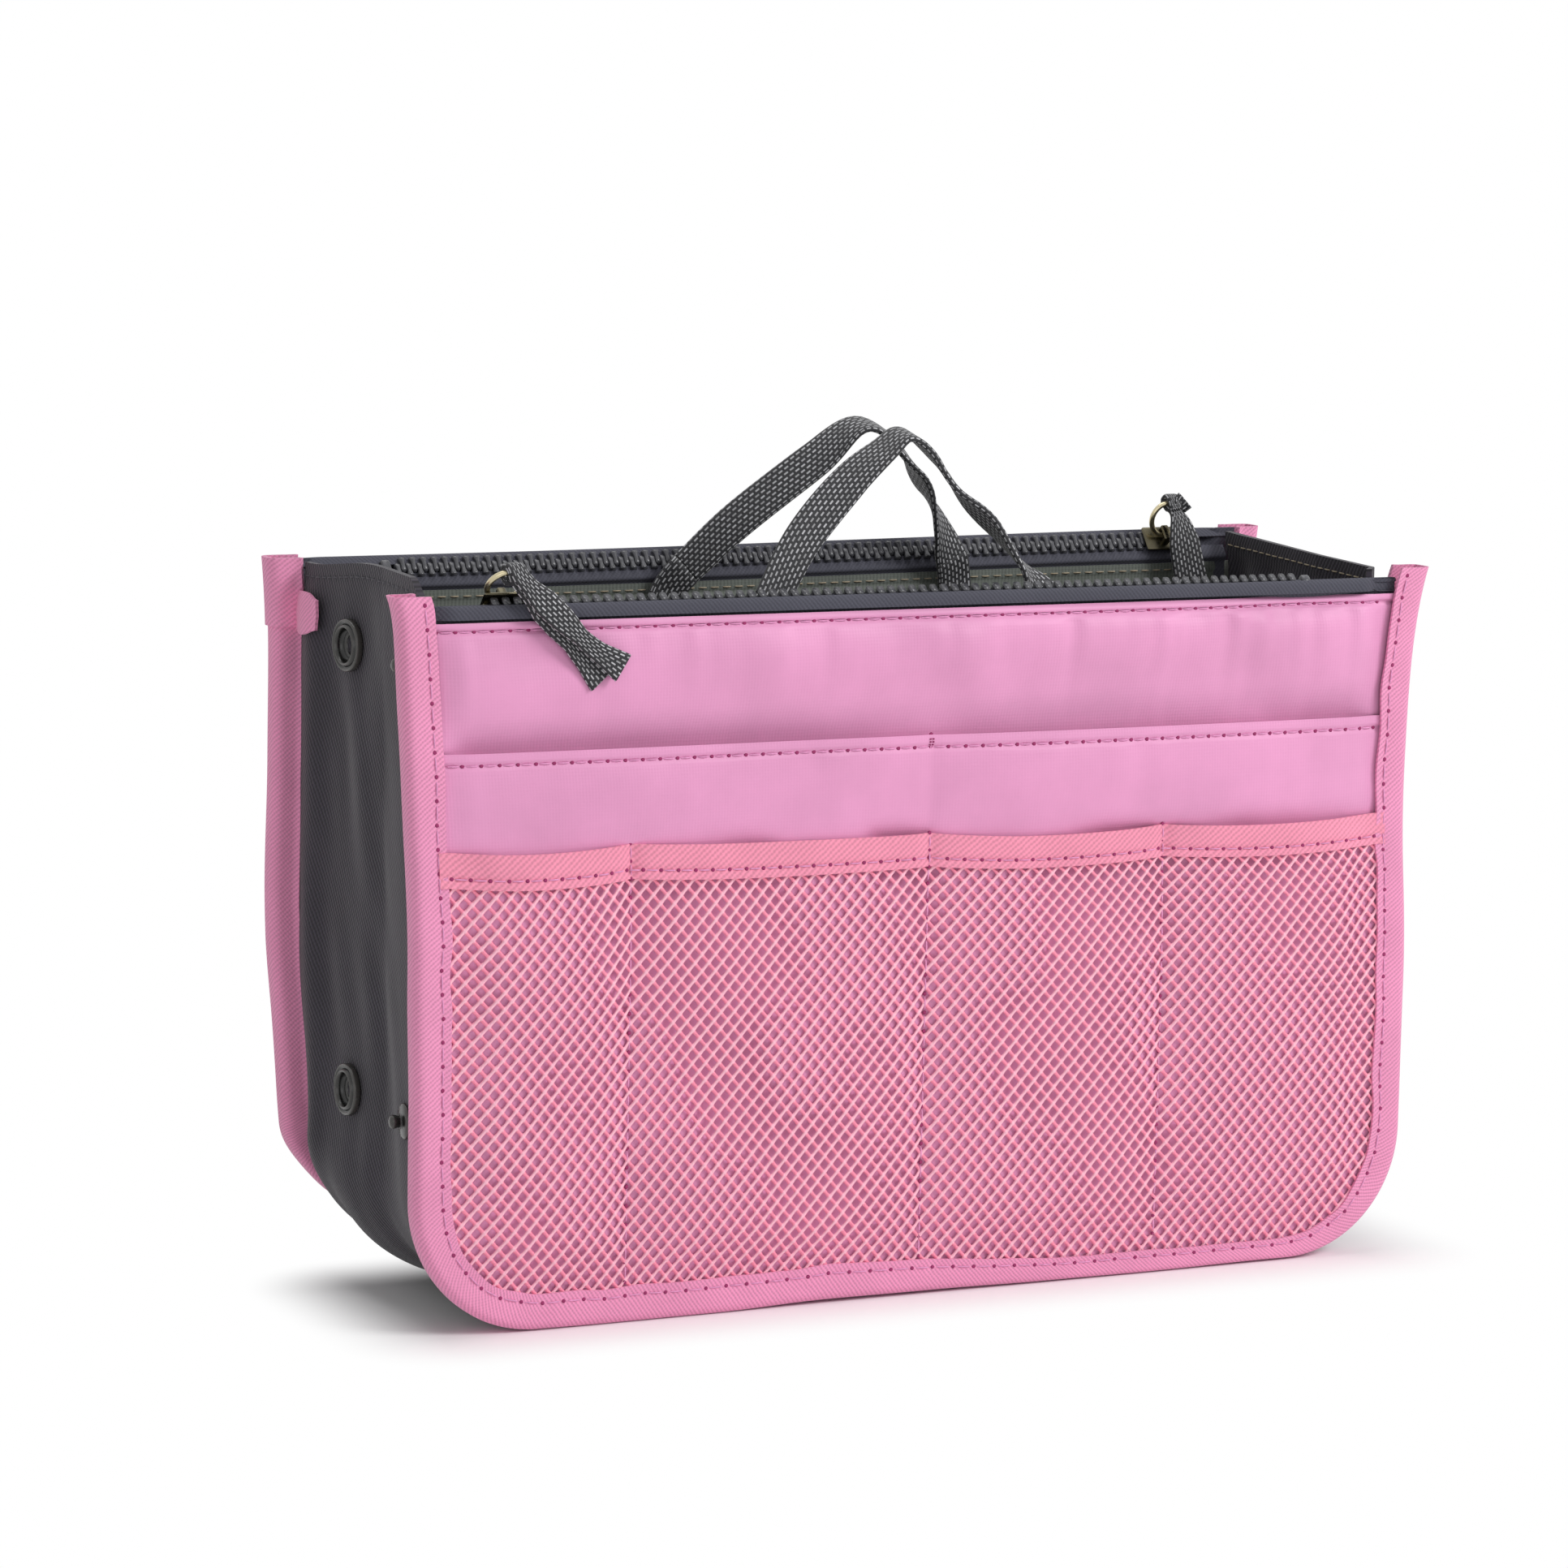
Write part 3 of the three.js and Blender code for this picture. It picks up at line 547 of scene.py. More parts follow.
def binding_twill(name):
    """Polyester twill tape, woven with a slanting rib: matt pink with fine diagonal lines."""
    return ribbed_cloth(name, colours().binding, 0.95, math.radians(38), 0.1, 0.1, 0.75, 0.2, 0.05)


def hem_twill(name):
    """Herringbone cotton tape, woven thick: salmon with a coarse slanting rib."""
    return ribbed_cloth(name, colours().hem, 1.2, math.radians(50), 0.15, 0.09, 0.8, 0.2)


def gusset_twill(name):
    """Polyester twill, piece dyed: charcoal with a paler slanting line, matt and a little fuzzy."""
    return ribbed_cloth(name, colours().twill, 1.2, math.radians(-32), 0.12, 0.4, 0.8, 0.25, 0.16)


def zip_weave(name):
    """Woven polyester zip tape: slate black with a fine herringbone."""
    return ribbed_cloth(name, colours().zip_tape, 0.9, math.radians(-40), 0.08, 0.1, 0.75, 0.15)


def lining_cloth(name):
    """Polyester lining, thin and slack: grey-green with a dull satin face."""
    return ribbed_cloth(name, colours().lining, 1.0, math.radians(0), 0.06, 0.1, 0.55, 0.15)


def elastic_braid(name):
    """Braided elastic: grey-green cords across its width."""
    return ribbed_cloth(name, shade(colours().lining, 0.8), 1.4, math.radians(90), 0.2, 0.25, 0.75, 0.2)


def net_knit(name):
    """Knitted nylon net: coral cords with a soft sheen, and a painted highlight that makes the rising set
    paler.
    """
    made, tree, shader = new_material(name)
    place = node(tree, "ShaderNodeTexCoord").outputs["UV"]
    # A diagonal wave has 10 radians to a unit; one cycle spans a mesh
    slant = node(tree, "ShaderNodeVectorMath", {"operation": "MULTIPLY"}, {
        0: place, 1: (math.tau / 10 / sizes().net_across, -math.tau / 10 / sizes().net_up, 0.0)})
    rising = node(tree, "ShaderNodeTexWave", {"bands_direction": "DIAGONAL"}, {
        "Vector": slant.outputs[0], "Scale": 1.0})
    # Painted highlight: the rising strands get the paler colour
    colour = node(tree, "ShaderNodeValToRGB", inputs={"Fac": rising.outputs["Fac"]}, stops=(
        (0.55, colours().net), (0.95, colours().net_highlight)))
    # Loops in a strand stand about 0.7 mm apart; they are drawn at 0.9 mm, which shows in the render
    loops = node(tree, "ShaderNodeTexWave", {"bands_direction": "Y"}, {
        "Vector": place, "Scale": bands(0.9), "Distortion": 2.5, "Detail": 2.0, "Detail Scale": 1.5})
    bump = node(tree, "ShaderNodeBump", inputs={
        "Strength": 0.3, "Distance": 0.1 * MM, "Height": loops.outputs["Fac"]})
    plug(tree, shader, {
        "Base Color": colour.outputs[0], "Normal": bump.outputs[0], "Roughness": 0.5,
        "Sheen Weight": 0.15})
    return made


def moulded_acetal(name):
    """Acetal zip teeth, injection moulded on the tape: dark, with a soft waxy gloss."""
    made, tree, shader = new_material(name)
    place = node(tree, "ShaderNodeTexCoord").outputs["Object"]
    grit = node(tree, "ShaderNodeTexNoise", inputs={
        "Vector": place, "Scale": 1 / (1.5 * MM), "Detail": 2.0})
    colour = node(tree, "ShaderNodeValToRGB", inputs={"Fac": grit.outputs["Fac"]}, stops=(
        (0.0, shade(colours().teeth, 0.75)), (1.0, shade(colours().teeth, 1.15))))
    plug(tree, shader, {"Base Color": colour.outputs[0], "Roughness": 0.26})
    return made


def plated_zinc(name, tone=1.0):
    """Die-cast zinc plated pale gold: bright metal, dulled a little where it is handled; tone darkens it."""
    made, tree, shader = new_material(name)
    code = shade(colours().metal, tone)
    place = node(tree, "ShaderNodeTexCoord").outputs["Object"]
    wear = node(tree, "ShaderNodeTexNoise", inputs={
        "Vector": place, "Scale": 1 / (3 * MM), "Detail": 4.0})
    rough = node(tree, "ShaderNodeMapRange", inputs={
        "Value": wear.outputs["Fac"], "From Min": 0.3, "From Max": 0.7, "To Min": 0.2, "To Max": 0.42})
    colour = node(tree, "ShaderNodeValToRGB", inputs={"Fac": wear.outputs["Fac"]}, stops=(
        (0.0, shade(code, 0.8)), (1.0, code)))
    plug(tree, shader, {
        "Base Color": colour.outputs[0], "Roughness": rough.outputs[0], "Metallic": 1.0})
    return made


def woven_webbing(name):
    """Polypropylene webbing, basket woven from black and pale yarn: short pale dashes in staggered rows."""
    made, tree, shader = new_material(name)
    place = node(tree, "ShaderNodeTexCoord").outputs["UV"]
    # The real yarn is finer; dashes of 1.9 by 1.12 mm are what shows in the render
    dashes = node(tree, "ShaderNodeTexBrick", {"offset": 0.5, "offset_frequency": 2}, {
        "Vector": place, "Scale": 1 / (1 * MM), "Brick Width": 1.9, "Row Height": 1.12,
        "Mortar Size": 0.38, "Mortar Smooth": 0.15, "Bias": 0.0,
        "Color1": linear(colours().speckle), "Color2": linear(shade(colours().speckle, 0.75)),
        "Mortar": linear(colours().webbing)})
    height = node(tree, "ShaderNodeMath", {"operation": "SUBTRACT"}, {0: 1.0, 1: dashes.outputs["Fac"]})
    bump = node(tree, "ShaderNodeBump", inputs={
        "Strength": 0.8, "Distance": 0.3 * MM, "Height": height.outputs[0]})
    plug(tree, shader, {
        "Base Color": dashes.outputs["Color"], "Normal": bump.outputs[0], "Roughness": 0.7,
        "Sheen Weight": 0.15})
    return made


def moulded_snap(name):
    """Acetal press stud, injection moulded: near black with a clear gloss, and painted highlights on its
    ridges.
    """
    made, tree, shader = new_material(name)
    place = node(tree, "ShaderNodeTexCoord").outputs["Object"]
    scuff = node(tree, "ShaderNodeTexNoise", inputs={
        "Vector": place, "Scale": 1 / (2 * MM), "Detail": 4.0})
    rough = node(tree, "ShaderNodeMapRange", inputs={
        "Value": scuff.outputs["Fac"], "From Min": 0.3, "From Max": 0.75, "To Min": 0.18, "To Max": 0.34})
    ridge = node(tree, "ShaderNodeNewGeometry").outputs["Pointiness"]
    # Painted highlight: convex ridges are drawn much paler than the rest
    colour = node(tree, "ShaderNodeValToRGB", inputs={"Fac": ridge}, stops=(
        (0.49, shade(colours().snap, 0.6)), (0.58, shade(colours().snap, 2.6))))
    plug(tree, shader, {"Base Color": colour.outputs[0], "Roughness": rough.outputs[0]})
    return made


def spun_thread(name, code):
    """Spun polyester thread: matt, with the twist showing as a slight change of tone."""
    made, tree, shader = new_material(name)
    place = node(tree, "ShaderNodeTexCoord").outputs["Object"]
    twist = node(tree, "ShaderNodeTexNoise", inputs={
        "Vector": place, "Scale": 1 / (0.8 * MM), "Detail": 2.0})
    colour = node(tree, "ShaderNodeValToRGB", inputs={"Fac": twist.outputs["Fac"]}, stops=(
        (0.0, shade(code, 0.8)), (1.0, shade(code, 1.1))))
    plug(tree, shader, {"Base Color": colour.outputs[0], "Roughness": 0.8})
    return made


# Every finish by its name, with what makes it
FINISHES = {
    "nylon_taffeta": nylon_taffeta,
    # The panel's nylon, with painted shade in its narrow gaps
    "backed_nylon_taffeta": lambda name: nylon_taffeta(name, mouth=True),
    "twill_binding_tape": binding_twill,
    "herringbone_tape": hem_twill,
    "polyester_twill": gusset_twill,
    "woven_zip_tape": zip_weave,
    "polyester_lining": lining_cloth,
    "braided_elastic": elastic_braid,
    "knitted_nylon_net": net_knit,
    "acetal_zip_teeth": moulded_acetal,
    # The slider's metal: the ring's plated zinc drawn at 0.45 of its tone
    "antique_plated_zinc": lambda name: plated_zinc(name, 0.45),
    "gold_plated_zinc": plated_zinc,
    "woven_webbing": woven_webbing,
    "acetal_press_stud": moulded_snap,
    # Dark thread, which also carries the painted shade of the needle holes
    "rose_needle_dents": lambda name: spun_thread(name, colours().dark_thread_and_hole_shade),
    "pink_spun_thread": lambda name: spun_thread(name, shade(colours().nylon, 1.04)),
    "grey_spun_thread": lambda name: spun_thread(name, colours().grey_thread),
    "beige_spun_thread": lambda name: spun_thread(name, colours().beige_thread),
}


def material(name):
    """The finish of that name, made the first time it is asked for."""
    return bpy.data.materials.get(name) or FINISHES[name](name)


# Shapes of a wing

def inside(x, z):
    """Distance in from a wing's outline: from its straight sides, or from the arc of a lower corner."""
    across = np.abs(x) - (HALF - CORNER)
    below = CORNER - z
    arc = CORNER - np.hypot(np.maximum(across, 0), np.maximum(below, 0))
    return np.where((across > 0) & (below > 0), arc, np.minimum(HALF - np.abs(x), z))


def half_width(z, inset):
    """Half of a wing's width at a height, drawn in by inset: straight sides over two corner arcs."""
    radius = CORNER - inset
    below = np.clip(CORNER - z, 0.0, radius)
    return HALF - CORNER + np.sqrt(np.maximum(radius ** 2 - below ** 2, 0.0))


def tuck(x, z, reach=9.0):
    """0 where cloth goes under the binding's lip, rising to 1 over reach millimetres."""
    return ease((inside(x, z) - LIP + 1.0) / reach)


def between_seams(x, seams):
    """Arch across each pocket: the sine of the share of the way from one seam to the next."""
    edges = np.array([LIP - HALF, *seams, HALF - LIP])
    k = np.clip(np.searchsorted(edges, x) - 1, 0, len(edges) - 2)
    share = (x - edges[k]) / (edges[k + 1] - edges[k])
    return np.sin(np.pi * np.clip(share, 0.0, 1.0))


def panel_out(x, z, side):
    """Outer panel: it swells between the zip seam and the slip pocket's mouth, turns in behind the mouth,
    has a rolled edge over its stitches, puckers below them, more towards the right, and lies hollow
    under the zip's pull at both ends of its slide."""
    share = np.clip((z - SLIP_TOP) / (PANEL_TOP - SLIP_TOP), 0.0, 1.0)
    right = ease((x + 90.0) / 200.0)
    arch = np.sin(np.pi * share ** (1.2 + 1.1 * right)) ** 0.9
    swell = (3.4 + 0.8 * right) * arch - 1.8 * (1 - ease(share / 0.3))
    below = np.maximum(PANEL_TOP - 2.0 - z, 0.0)
    seed = 3 if side == "front" else 4
    tight = 0.35 + 0.65 * ease((x + 60.0) / 150.0)
    pucker = 1.1 * tight * np.exp(-below / 12.0) * ease(below / 2.5) * noise(x / 3.8, z / 60.0, seed)
    folds = noise((x + 0.35 * z) / 13.0, z / 55.0, seed + 20)
    crease = 1.2 * tight * ease(below / 5.0) * np.sin(np.pi * share) * folds
    slack = 0.8 * noise((x + 0.5 * z) / 37.0, z / 24.0, seed + 2) * np.sin(np.pi * share)
    for depth, (along, up), (wide, high) in PULL_HOLLOWS:
        slack = slack - depth * np.exp(-((x - along) / wide) ** 2 - ((z - up) / high) ** 2)
    above = z - PANEL_TOP + PANEL_ROW
    roll = 0.5 * ease(above / 0.8) - 0.55 * np.exp(-(above / 0.6) ** 2)
    return PANEL_OUT + tuck(x, z) * (swell + pucker + crease + slack) + roll


def slip_out(x, z, side):
    """Slip pocket: two pouches that stand off the panel at the mouth, with a rolled edge over the stitches;
    below the hem it lies close behind the lower pocket."""
    share = np.clip((z - HEM_TOP) / (SLIP_TOP - HEM_TOP), 0.0, 1.0)
    seed = 7 if side == "front" else 9
    arch = between_seams(x, (0.0,)) ** 0.35
    lean = 1.5 + 1.7 * np.sin(np.pi * (0.1 + 0.8 * share))
    slack = 0.7 * noise((x - 0.4 * z) / 27.0, z / 19.0, seed) * np.sin(np.pi * share)
    below = np.maximum(SLIP_TOP - 2.8 - z, 0.0)
    pucker = 0.5 * np.exp(-below / 9.0) * ease(below / 2.0) * noise(x / 6.5, z / 40.0, seed + 20)
    roll = 0.35 * ease((z - SLIP_TOP + 3.0) / 1.0) - 0.45 * np.exp(-((z - SLIP_TOP + SLIP_ROW) / 0.7) ** 2)
    upper = SLIP_OUT + tuck(x, z) * arch * (lean + slack + pucker) + roll
    behind = lower_out(x, z, side) - net_gap(x, z)
    under = ease((z - HEM_LOW - 3.0) / 10.0)
    return behind * (1 - under) + upper * under


def net_gap(x, z):
    """Room between the lower pocket and the cloth behind it: close over most of it, open in soft hollows."""
    hollow = ease(0.35 + 1.2 * noise((x + 0.25 * z) / 21.0, z / 30.0, 11)) ** 1.5
    return 0.7 + 2.6 * hollow * tuck(x, z, 16.0)


def lower_out(x, z, side):
    """Lower pocket: pouches between its seams, fullest below the middle."""
    share = np.clip((z - LIP) / (HEM_TOP - LIP), 0.0, 1.0)
    arch = between_seams(x, SEAMS[side]) ** 0.6
    full = 1.5 + 1.6 * np.sin(np.pi * (0.12 + 0.72 * share))
    hollow = 0.8 * noise(x / 33.0 + 5.0, z / 29.0, 12)
    return NET_OUT + tuck(x, z, 14.0) * arch * (full + hollow)


def hem_drop(x, z, side):
    """Sag of the lower pocket's top edge between its seams, dying out halfway down."""
    return 1.1 * between_seams(x, SEAMS[side]) ** 0.8 * ease((z - 55.0) / 55.0)


def hem_out(x, z, side):
    """Hem tape: it lies on the lower pocket's top edge, pinched at the seams, and dips at its stitches."""
    dip = -0.35 * np.exp(-((z - HEM_LOW - HEM_ROW) / 0.8) ** 2)
    edges = np.array([LIP - HALF, *SEAMS[side], HALF - LIP])
    near = np.min(np.abs(x[..., None] - edges), axis=-1)
    pinch = -0.5 * np.exp(-(near / 2.2) ** 2)
    wave = 0.25 * noise(x / 11.0, z / 12.0, 13)
    return lower_out(x, z, side) + 1.0 + dip + (wave + pinch) * tuck(x, z)


def lining_out(x, z, side):
    """Inner panel: slack lining gathered in level folds under the zip, with a turned edge over the tape."""
    below = np.maximum(LINING_TOP - 2.4 - z, 0.0)
    level = np.sin(below / 1.05 + 1.6 * noise(x / 55.0, z / 30.0, 17))
    gather = level * np.exp(-below / 9.0) * ease(below / 1.5)
    part = ease(0.6 + noise(x / 45.0, 0.0, 18))
    slack = 0.5 * noise(x / 26.0, z / 30.0, 19)
    edge = 0.25 * ease((z - LINING_TOP + 2.8) / 0.8)
    stand = 0.9 * ease((z - 140.0) / 15.0)
    return -tuck(x, z) * (0.3 + stand + edge + slack * 0.6 + 0.9 * part * gather)


def inner_pocket_out(x, z, side):
    """Inner pocket: lining gathered by its elastic into upright folds that die out towards the bottom."""
    low, high = INNER_POCKET
    share = np.clip((z - low) / (high - low), 0.0, 1.0)
    pleat = np.sin(x / 3.4 + 1.5 * noise(x / 18.0, z / 60.0, 23))
    return -1.3 - 0.7 * share * (1 + pleat) * ease((INNER_POCKET_HALF + 0.5 - np.abs(x)) / 10.0)


def wing_sheet(name, side, shape, low, high, rows, columns, inset, thickness,
               half=None, inward=False, drop=None):
    """A sheet on a wing: rows from low to high, columns across the outline's width at that height."""
    close = high - np.linspace(0.0, 6.0, 16)[::-1]
    z = np.concatenate([np.linspace(low, close[0], rows)[:-1], close])[:, None]
    width = half_width(z, inset) if half is None else np.full_like(z, half)
    x = np.linspace(-1.0, 1.0, columns)[None, :] * width
    z = np.broadcast_to(z, x.shape)
    height = z if drop is None else z - drop(x, z, side)
    points = placed(np.stack([x, shape(x, z, side), height], -1), side)
    facing = np.array([0, -SIDES[side], 0]) * (-1 if inward else 1)
    return sheet_object(name, points, np.stack([x, z], -1), facing, thickness)


def u_path(run, half, low, top, corner):
    """Way down a left side, round an arc, along a base, round an arc and up the right side: at each distance
    along it, the point that lies a corner's radius in from the edge, and the way in."""
    run = np.asarray(run, float)
    side, arc, base = top - low - corner, math.pi / 2 * corner, 2 * (half - corner)
    first = np.clip((run - side) / corner, 0.0, math.pi / 2)
    second = np.clip((run - side - arc - base) / corner, 0.0, math.pi / 2)
    turn = first + second
    along = np.clip(run - side - arc, 0, base)
    up = np.clip(run - side - 2 * arc - base, 0, side)
    height = np.where(up > 0, low + corner + up, top - np.clip(run, 0, side))
    return np.stack([along - (half - corner), height], -1), np.stack([np.cos(turn), np.sin(turn)], -1)


def outline(run):
    """Place along a wing's edge, down the left side, along the bottom and up the right, with the way in."""
    centre, way_in = u_path(run, HALF, 0.0, TOP, CORNER)
    return centre - CORNER * way_in, way_in


OUTLINE_LENGTH = 2 * (TOP - CORNER) + math.pi * CORNER + 2 * (HALF - CORNER)


def binding_section():
    """Folded tape seen from its end: front lip, round outer edge, back lip, and the same a tape's
    thickness in."""
    front, back, bend, tape = 6.2, -1.2, 2.4, TAPE_THICK
    turn = np.linspace(0, math.pi / 2, 6)
    lip = np.linspace(LIP, bend, 7)
    hidden = np.linspace(bend, INNER_LIP, 9)
    rolled = back - 1.0 * np.exp(-((hidden - INNER_LIP + 0.7) / 0.7) ** 2)
    outer = np.vstack([
        np.stack([lip, np.full(7, front)], 1),
        np.stack([bend - bend * np.sin(turn), front - bend + bend * np.cos(turn)], 1)[1:],
        np.stack([bend - bend * np.cos(turn), back + bend - bend * np.sin(turn)], 1),
        np.stack([hidden, rolled], 1)[1:],
    ])
    middle = (front + back) / 2
    inner = outer.copy()
    inner[:, 0] = np.maximum(outer[:, 0], tape)
    inner[:, 1] = middle + np.clip(outer[:, 1] - middle, back + tape - middle, front - tape - middle)
    return outer, inner[::-1]


# How far the tape's two cut ends stand out, left and right in the wing's own frame, and over what length
FLARE = {"front": ((2.2, 5.0), (5.6, 18.0)), "back": ((2.0, 16.0), (1.2, 16.0))}
# The tape's stitches: their distance from its outer edge, how far out they lie, and their length
TAPE_STITCH = 6.8
TAPE_STITCH_OUT = 6.12
TAPE_PITCH = 5.8
# Length of the back tape's end that is turned over on itself
TURNED_END = 17.0
# Fine stitches of the lining and the gusset's hem: their length, and the share of it left bare
FINE_PITCH = 3.4
FINE_GAP = 0.25


def tape_drift(side, at, n):
    """How far the tape strays inwards and outwards: slow and quick noise along it, most at the lip, ends that
    flare by a falling exponential, and a front lip that is narrower along the bottom's right half."""
    seed = 41 if side == "front" else 47
    lip = ease((n - 2.0) / 6.0)
    (first, first_reach), (last, last_reach) = FLARE[side]
    flare = first * np.exp(-at / first_reach) + last * np.exp(-(OUTLINE_LENGTH - at) / last_reach)
    stray = 0.35 * lip * noise(at / 9.0, 0.0, seed) + 0.45 * (noise(at / 31.0, 0.0, seed + 1) + 0.6)
    bare = 0.36 * (side == "front") * ease((at - 275.0) / 90.0) * ease((448.0 - at) / 40.0)
    return stray - flare - bare * n, 0.25 * lip * noise(at / 7.0, n / 6.0, seed + 2)


# Sewing

# Turns round the six-sided section of a stitch or a dent
SIX_TURNS = np.linspace(0, math.tau, 7)[None, None, :6, None]


def seam_marks(points, up, length):
    """Needle holes along a run, about a stitch apart, with the way out of the cloth at each."""
    count = max(2, round(distances(points)[-1] / length))
    marks, _ = resampled(points, count + 1)
    ups, _ = resampled(np.broadcast_to(up, points.shape), count + 1)
    return marks, ups


def stitches(name, rows, length, gap):
    """Thread laid in runs: each stitch is a thin tube that rises from a needle hole and dips to the next."""
    radius = sizes().thread / MM / 2
    tubes = []
    share = np.array([0.0, 0.14, 0.5, 0.86, 1.0])[None, :, None, None]
    girth = np.array([0.35, 0.85, 1.0, 0.85, 0.35])[None, :, None, None] * radius
    rise = np.array([-0.3, 0.02, 0.14, 0.02, -0.3])[None, :, None, None]
    for points, up in rows:
        marks, ups = seam_marks(points, up, length)
        step = marks[1:] - marks[:-1]
        start = (marks[:-1] + step * gap / 2)[:, None, None, :]
        way = (step * (1 - gap))[:, None, None, :]
        lift = unit(ups[1:] + ups[:-1])[:, None, None, :]
        aside = unit(np.cross(way, lift))
        line = start + way * share
        tubes.append(line + lift * (rise + girth * np.cos(SIX_TURNS)) + aside * girth * np.sin(SIX_TURNS))
    return many_tubes(name, np.concatenate(tubes))


def needle_holes(name, rows, length, radius):
    """Dents where a needle went through: low six-sided domes at each mark along a run."""
    domes = []
    girth = np.array([1.0, 0.8, 0.3])[None, :, None, None] * radius
    rise = np.array([-0.15, 0.06, 0.1])[None, :, None, None]
    for points, up in rows:
        marks, ups = seam_marks(points, up, length)
        lift = unit(ups)[:, None, None, :]
        way = unit(np.gradient(marks, axis=0))[:, None, None, :]
        aside = unit(np.cross(way, lift))
        spread = way * np.cos(SIX_TURNS) + aside * np.sin(SIX_TURNS)
        domes.append(marks[:, None, None, :] + spread * girth + lift * rise)
    return many_tubes(name, np.concatenate(domes))


def wing_row(side, shape, x, z, proud=0.1, drop=None, inward=False):
    """A run of sewing across a wing's surface, with the way out of it."""
    x, z = (a.copy() for a in np.broadcast_arrays(np.asarray(x, float), np.asarray(z, float)))
    height = z if drop is None else z - drop(x, z, side)
    points = placed(np.stack([x, shape(x, z, side) + proud, height], -1), side)
    return points, np.array([0.0, -SIDES[side], 0.0]) * (-1 if inward else 1)


# Straps

def strap_rings(path, wide, width, thickness):
    """Flat webbing carried along a path: a rounded oblong section set across the way of the path."""
    along = unit(np.gradient(path, axis=0))
    wide = unit(wide - along * np.sum(wide * along, axis=1, keepdims=True))
    thin = np.cross(along, wide)
    half = thickness / 2
    turn = np.linspace(-math.pi / 2, math.pi / 2, 5)
    flat = np.linspace(-1, 1, 6)[1:-1]
    right = np.stack([np.cos(turn) * half, np.sin(turn) * half], 1)
    width = np.broadcast_to(np.asarray(width, float), (len(path),))[:, None]
    reach = width / 2 - half
    side = np.concatenate([np.ones(5), flat[::-1], -np.ones(5), flat])
    bulge = np.concatenate([right[:, 0], np.zeros(4), -right[:, 0], np.zeros(4)])
    up = np.concatenate([right[:, 1], np.full(4, half), -right[:, 1], np.full(4, -half)])
    across = reach * side[None, :] + bulge[None, :]
    return path[:, None, :] + wide[:, None, :] * across[..., None] + thin[:, None, :] * up[None, :, None]


def strap_map(path, rings):
    """Flat place on webbing: distance along it, and distance round its section."""
    around = distances(np.vstack([rings[-1], rings[-1][:1]]))
    return np.stack(np.meshgrid(distances(path), around, indexing="ij"), -1)


def strap_object(name, path, wide, width, thickness, side):
    """A strap of webbing along a path of wing points."""
    rings = strap_rings(path, wide, width, thickness)
    return tube_object(name, placed(rings, side), strap_map(path, rings))


# Gusset

GUSSET_SIDE = GUSSET_TOP - GUSSET_LOW - GUSSET_CORNER
GUSSET_ARC = math.pi / 2 * GUSSET_CORNER
GUSSET_BASE = 2 * (GUSSET_X - GUSSET_CORNER)
GUSSET_LENGTH = 2 * (GUSSET_SIDE + GUSSET_ARC) + GUSSET_BASE
GUSSET_RUNS = {
    "left": (0.0, GUSSET_SIDE),
    "left_corner": (GUSSET_SIDE, GUSSET_SIDE + GUSSET_ARC),
    "bottom": (GUSSET_SIDE + GUSSET_ARC, GUSSET_SIDE + GUSSET_ARC + GUSSET_BASE),
    "right_corner": (GUSSET_LENGTH - GUSSET_SIDE - GUSSET_ARC, GUSSET_LENGTH - GUSSET_SIDE),
    "right": (GUSSET_LENGTH - GUSSET_SIDE, GUSSET_LENGTH),
}
# Halfway between the front seam and the fold, and between the fold and the edge of the rear band
MID_FRONT = (FOLD_Y - SEAM_Y) / 2
MID_REAR = (FOLD_Y + BAND_Y) / 2
# Each part of the gusset: where it is, its span in y, the two bodies on either side of it, the line
# between them, and the solids it stands for. Parts meet halfway between folds.
GUSSET_PARTS = {
    "left_front": (
        "left", (-SEAM_Y, MID_FRONT), ("front_wing", "left_front"), -SEAM_Y, ("left_front_fold",)),
    "left_fold": (
        "left", (MID_FRONT, MID_REAR), ("left_front", "left_middle"), FOLD_Y,
        ("left_front_fold", "left_middle_fold")),
    "left_rear": (
        "left", (MID_REAR, SEAM_Y), ("left_middle", "back_wing"), BAND_Y, ("left_middle_fold", "rear_band")),
    "right_front": (
        "right", (-SEAM_Y, FOLD_Y), ("front_wing", "right_front"), -SEAM_Y, ("right_front_fold",)),
    "right_rear": (
        "right", (FOLD_Y, SEAM_Y), ("right_middle", "back_wing"), BAND_Y, ("right_middle_fold", "rear_band")),
    "bottom_front": (
        "bottom", (-SEAM_Y, FOLD_Y), ("front_wing", "bottom_front"), -SEAM_Y, ("bottom_front_fold",)),
    "bottom_rear": (
        "bottom", (FOLD_Y, SEAM_Y), ("bottom_middle", "back_wing"), BAND_Y,
        ("bottom_middle_fold", "rear_band")),
}


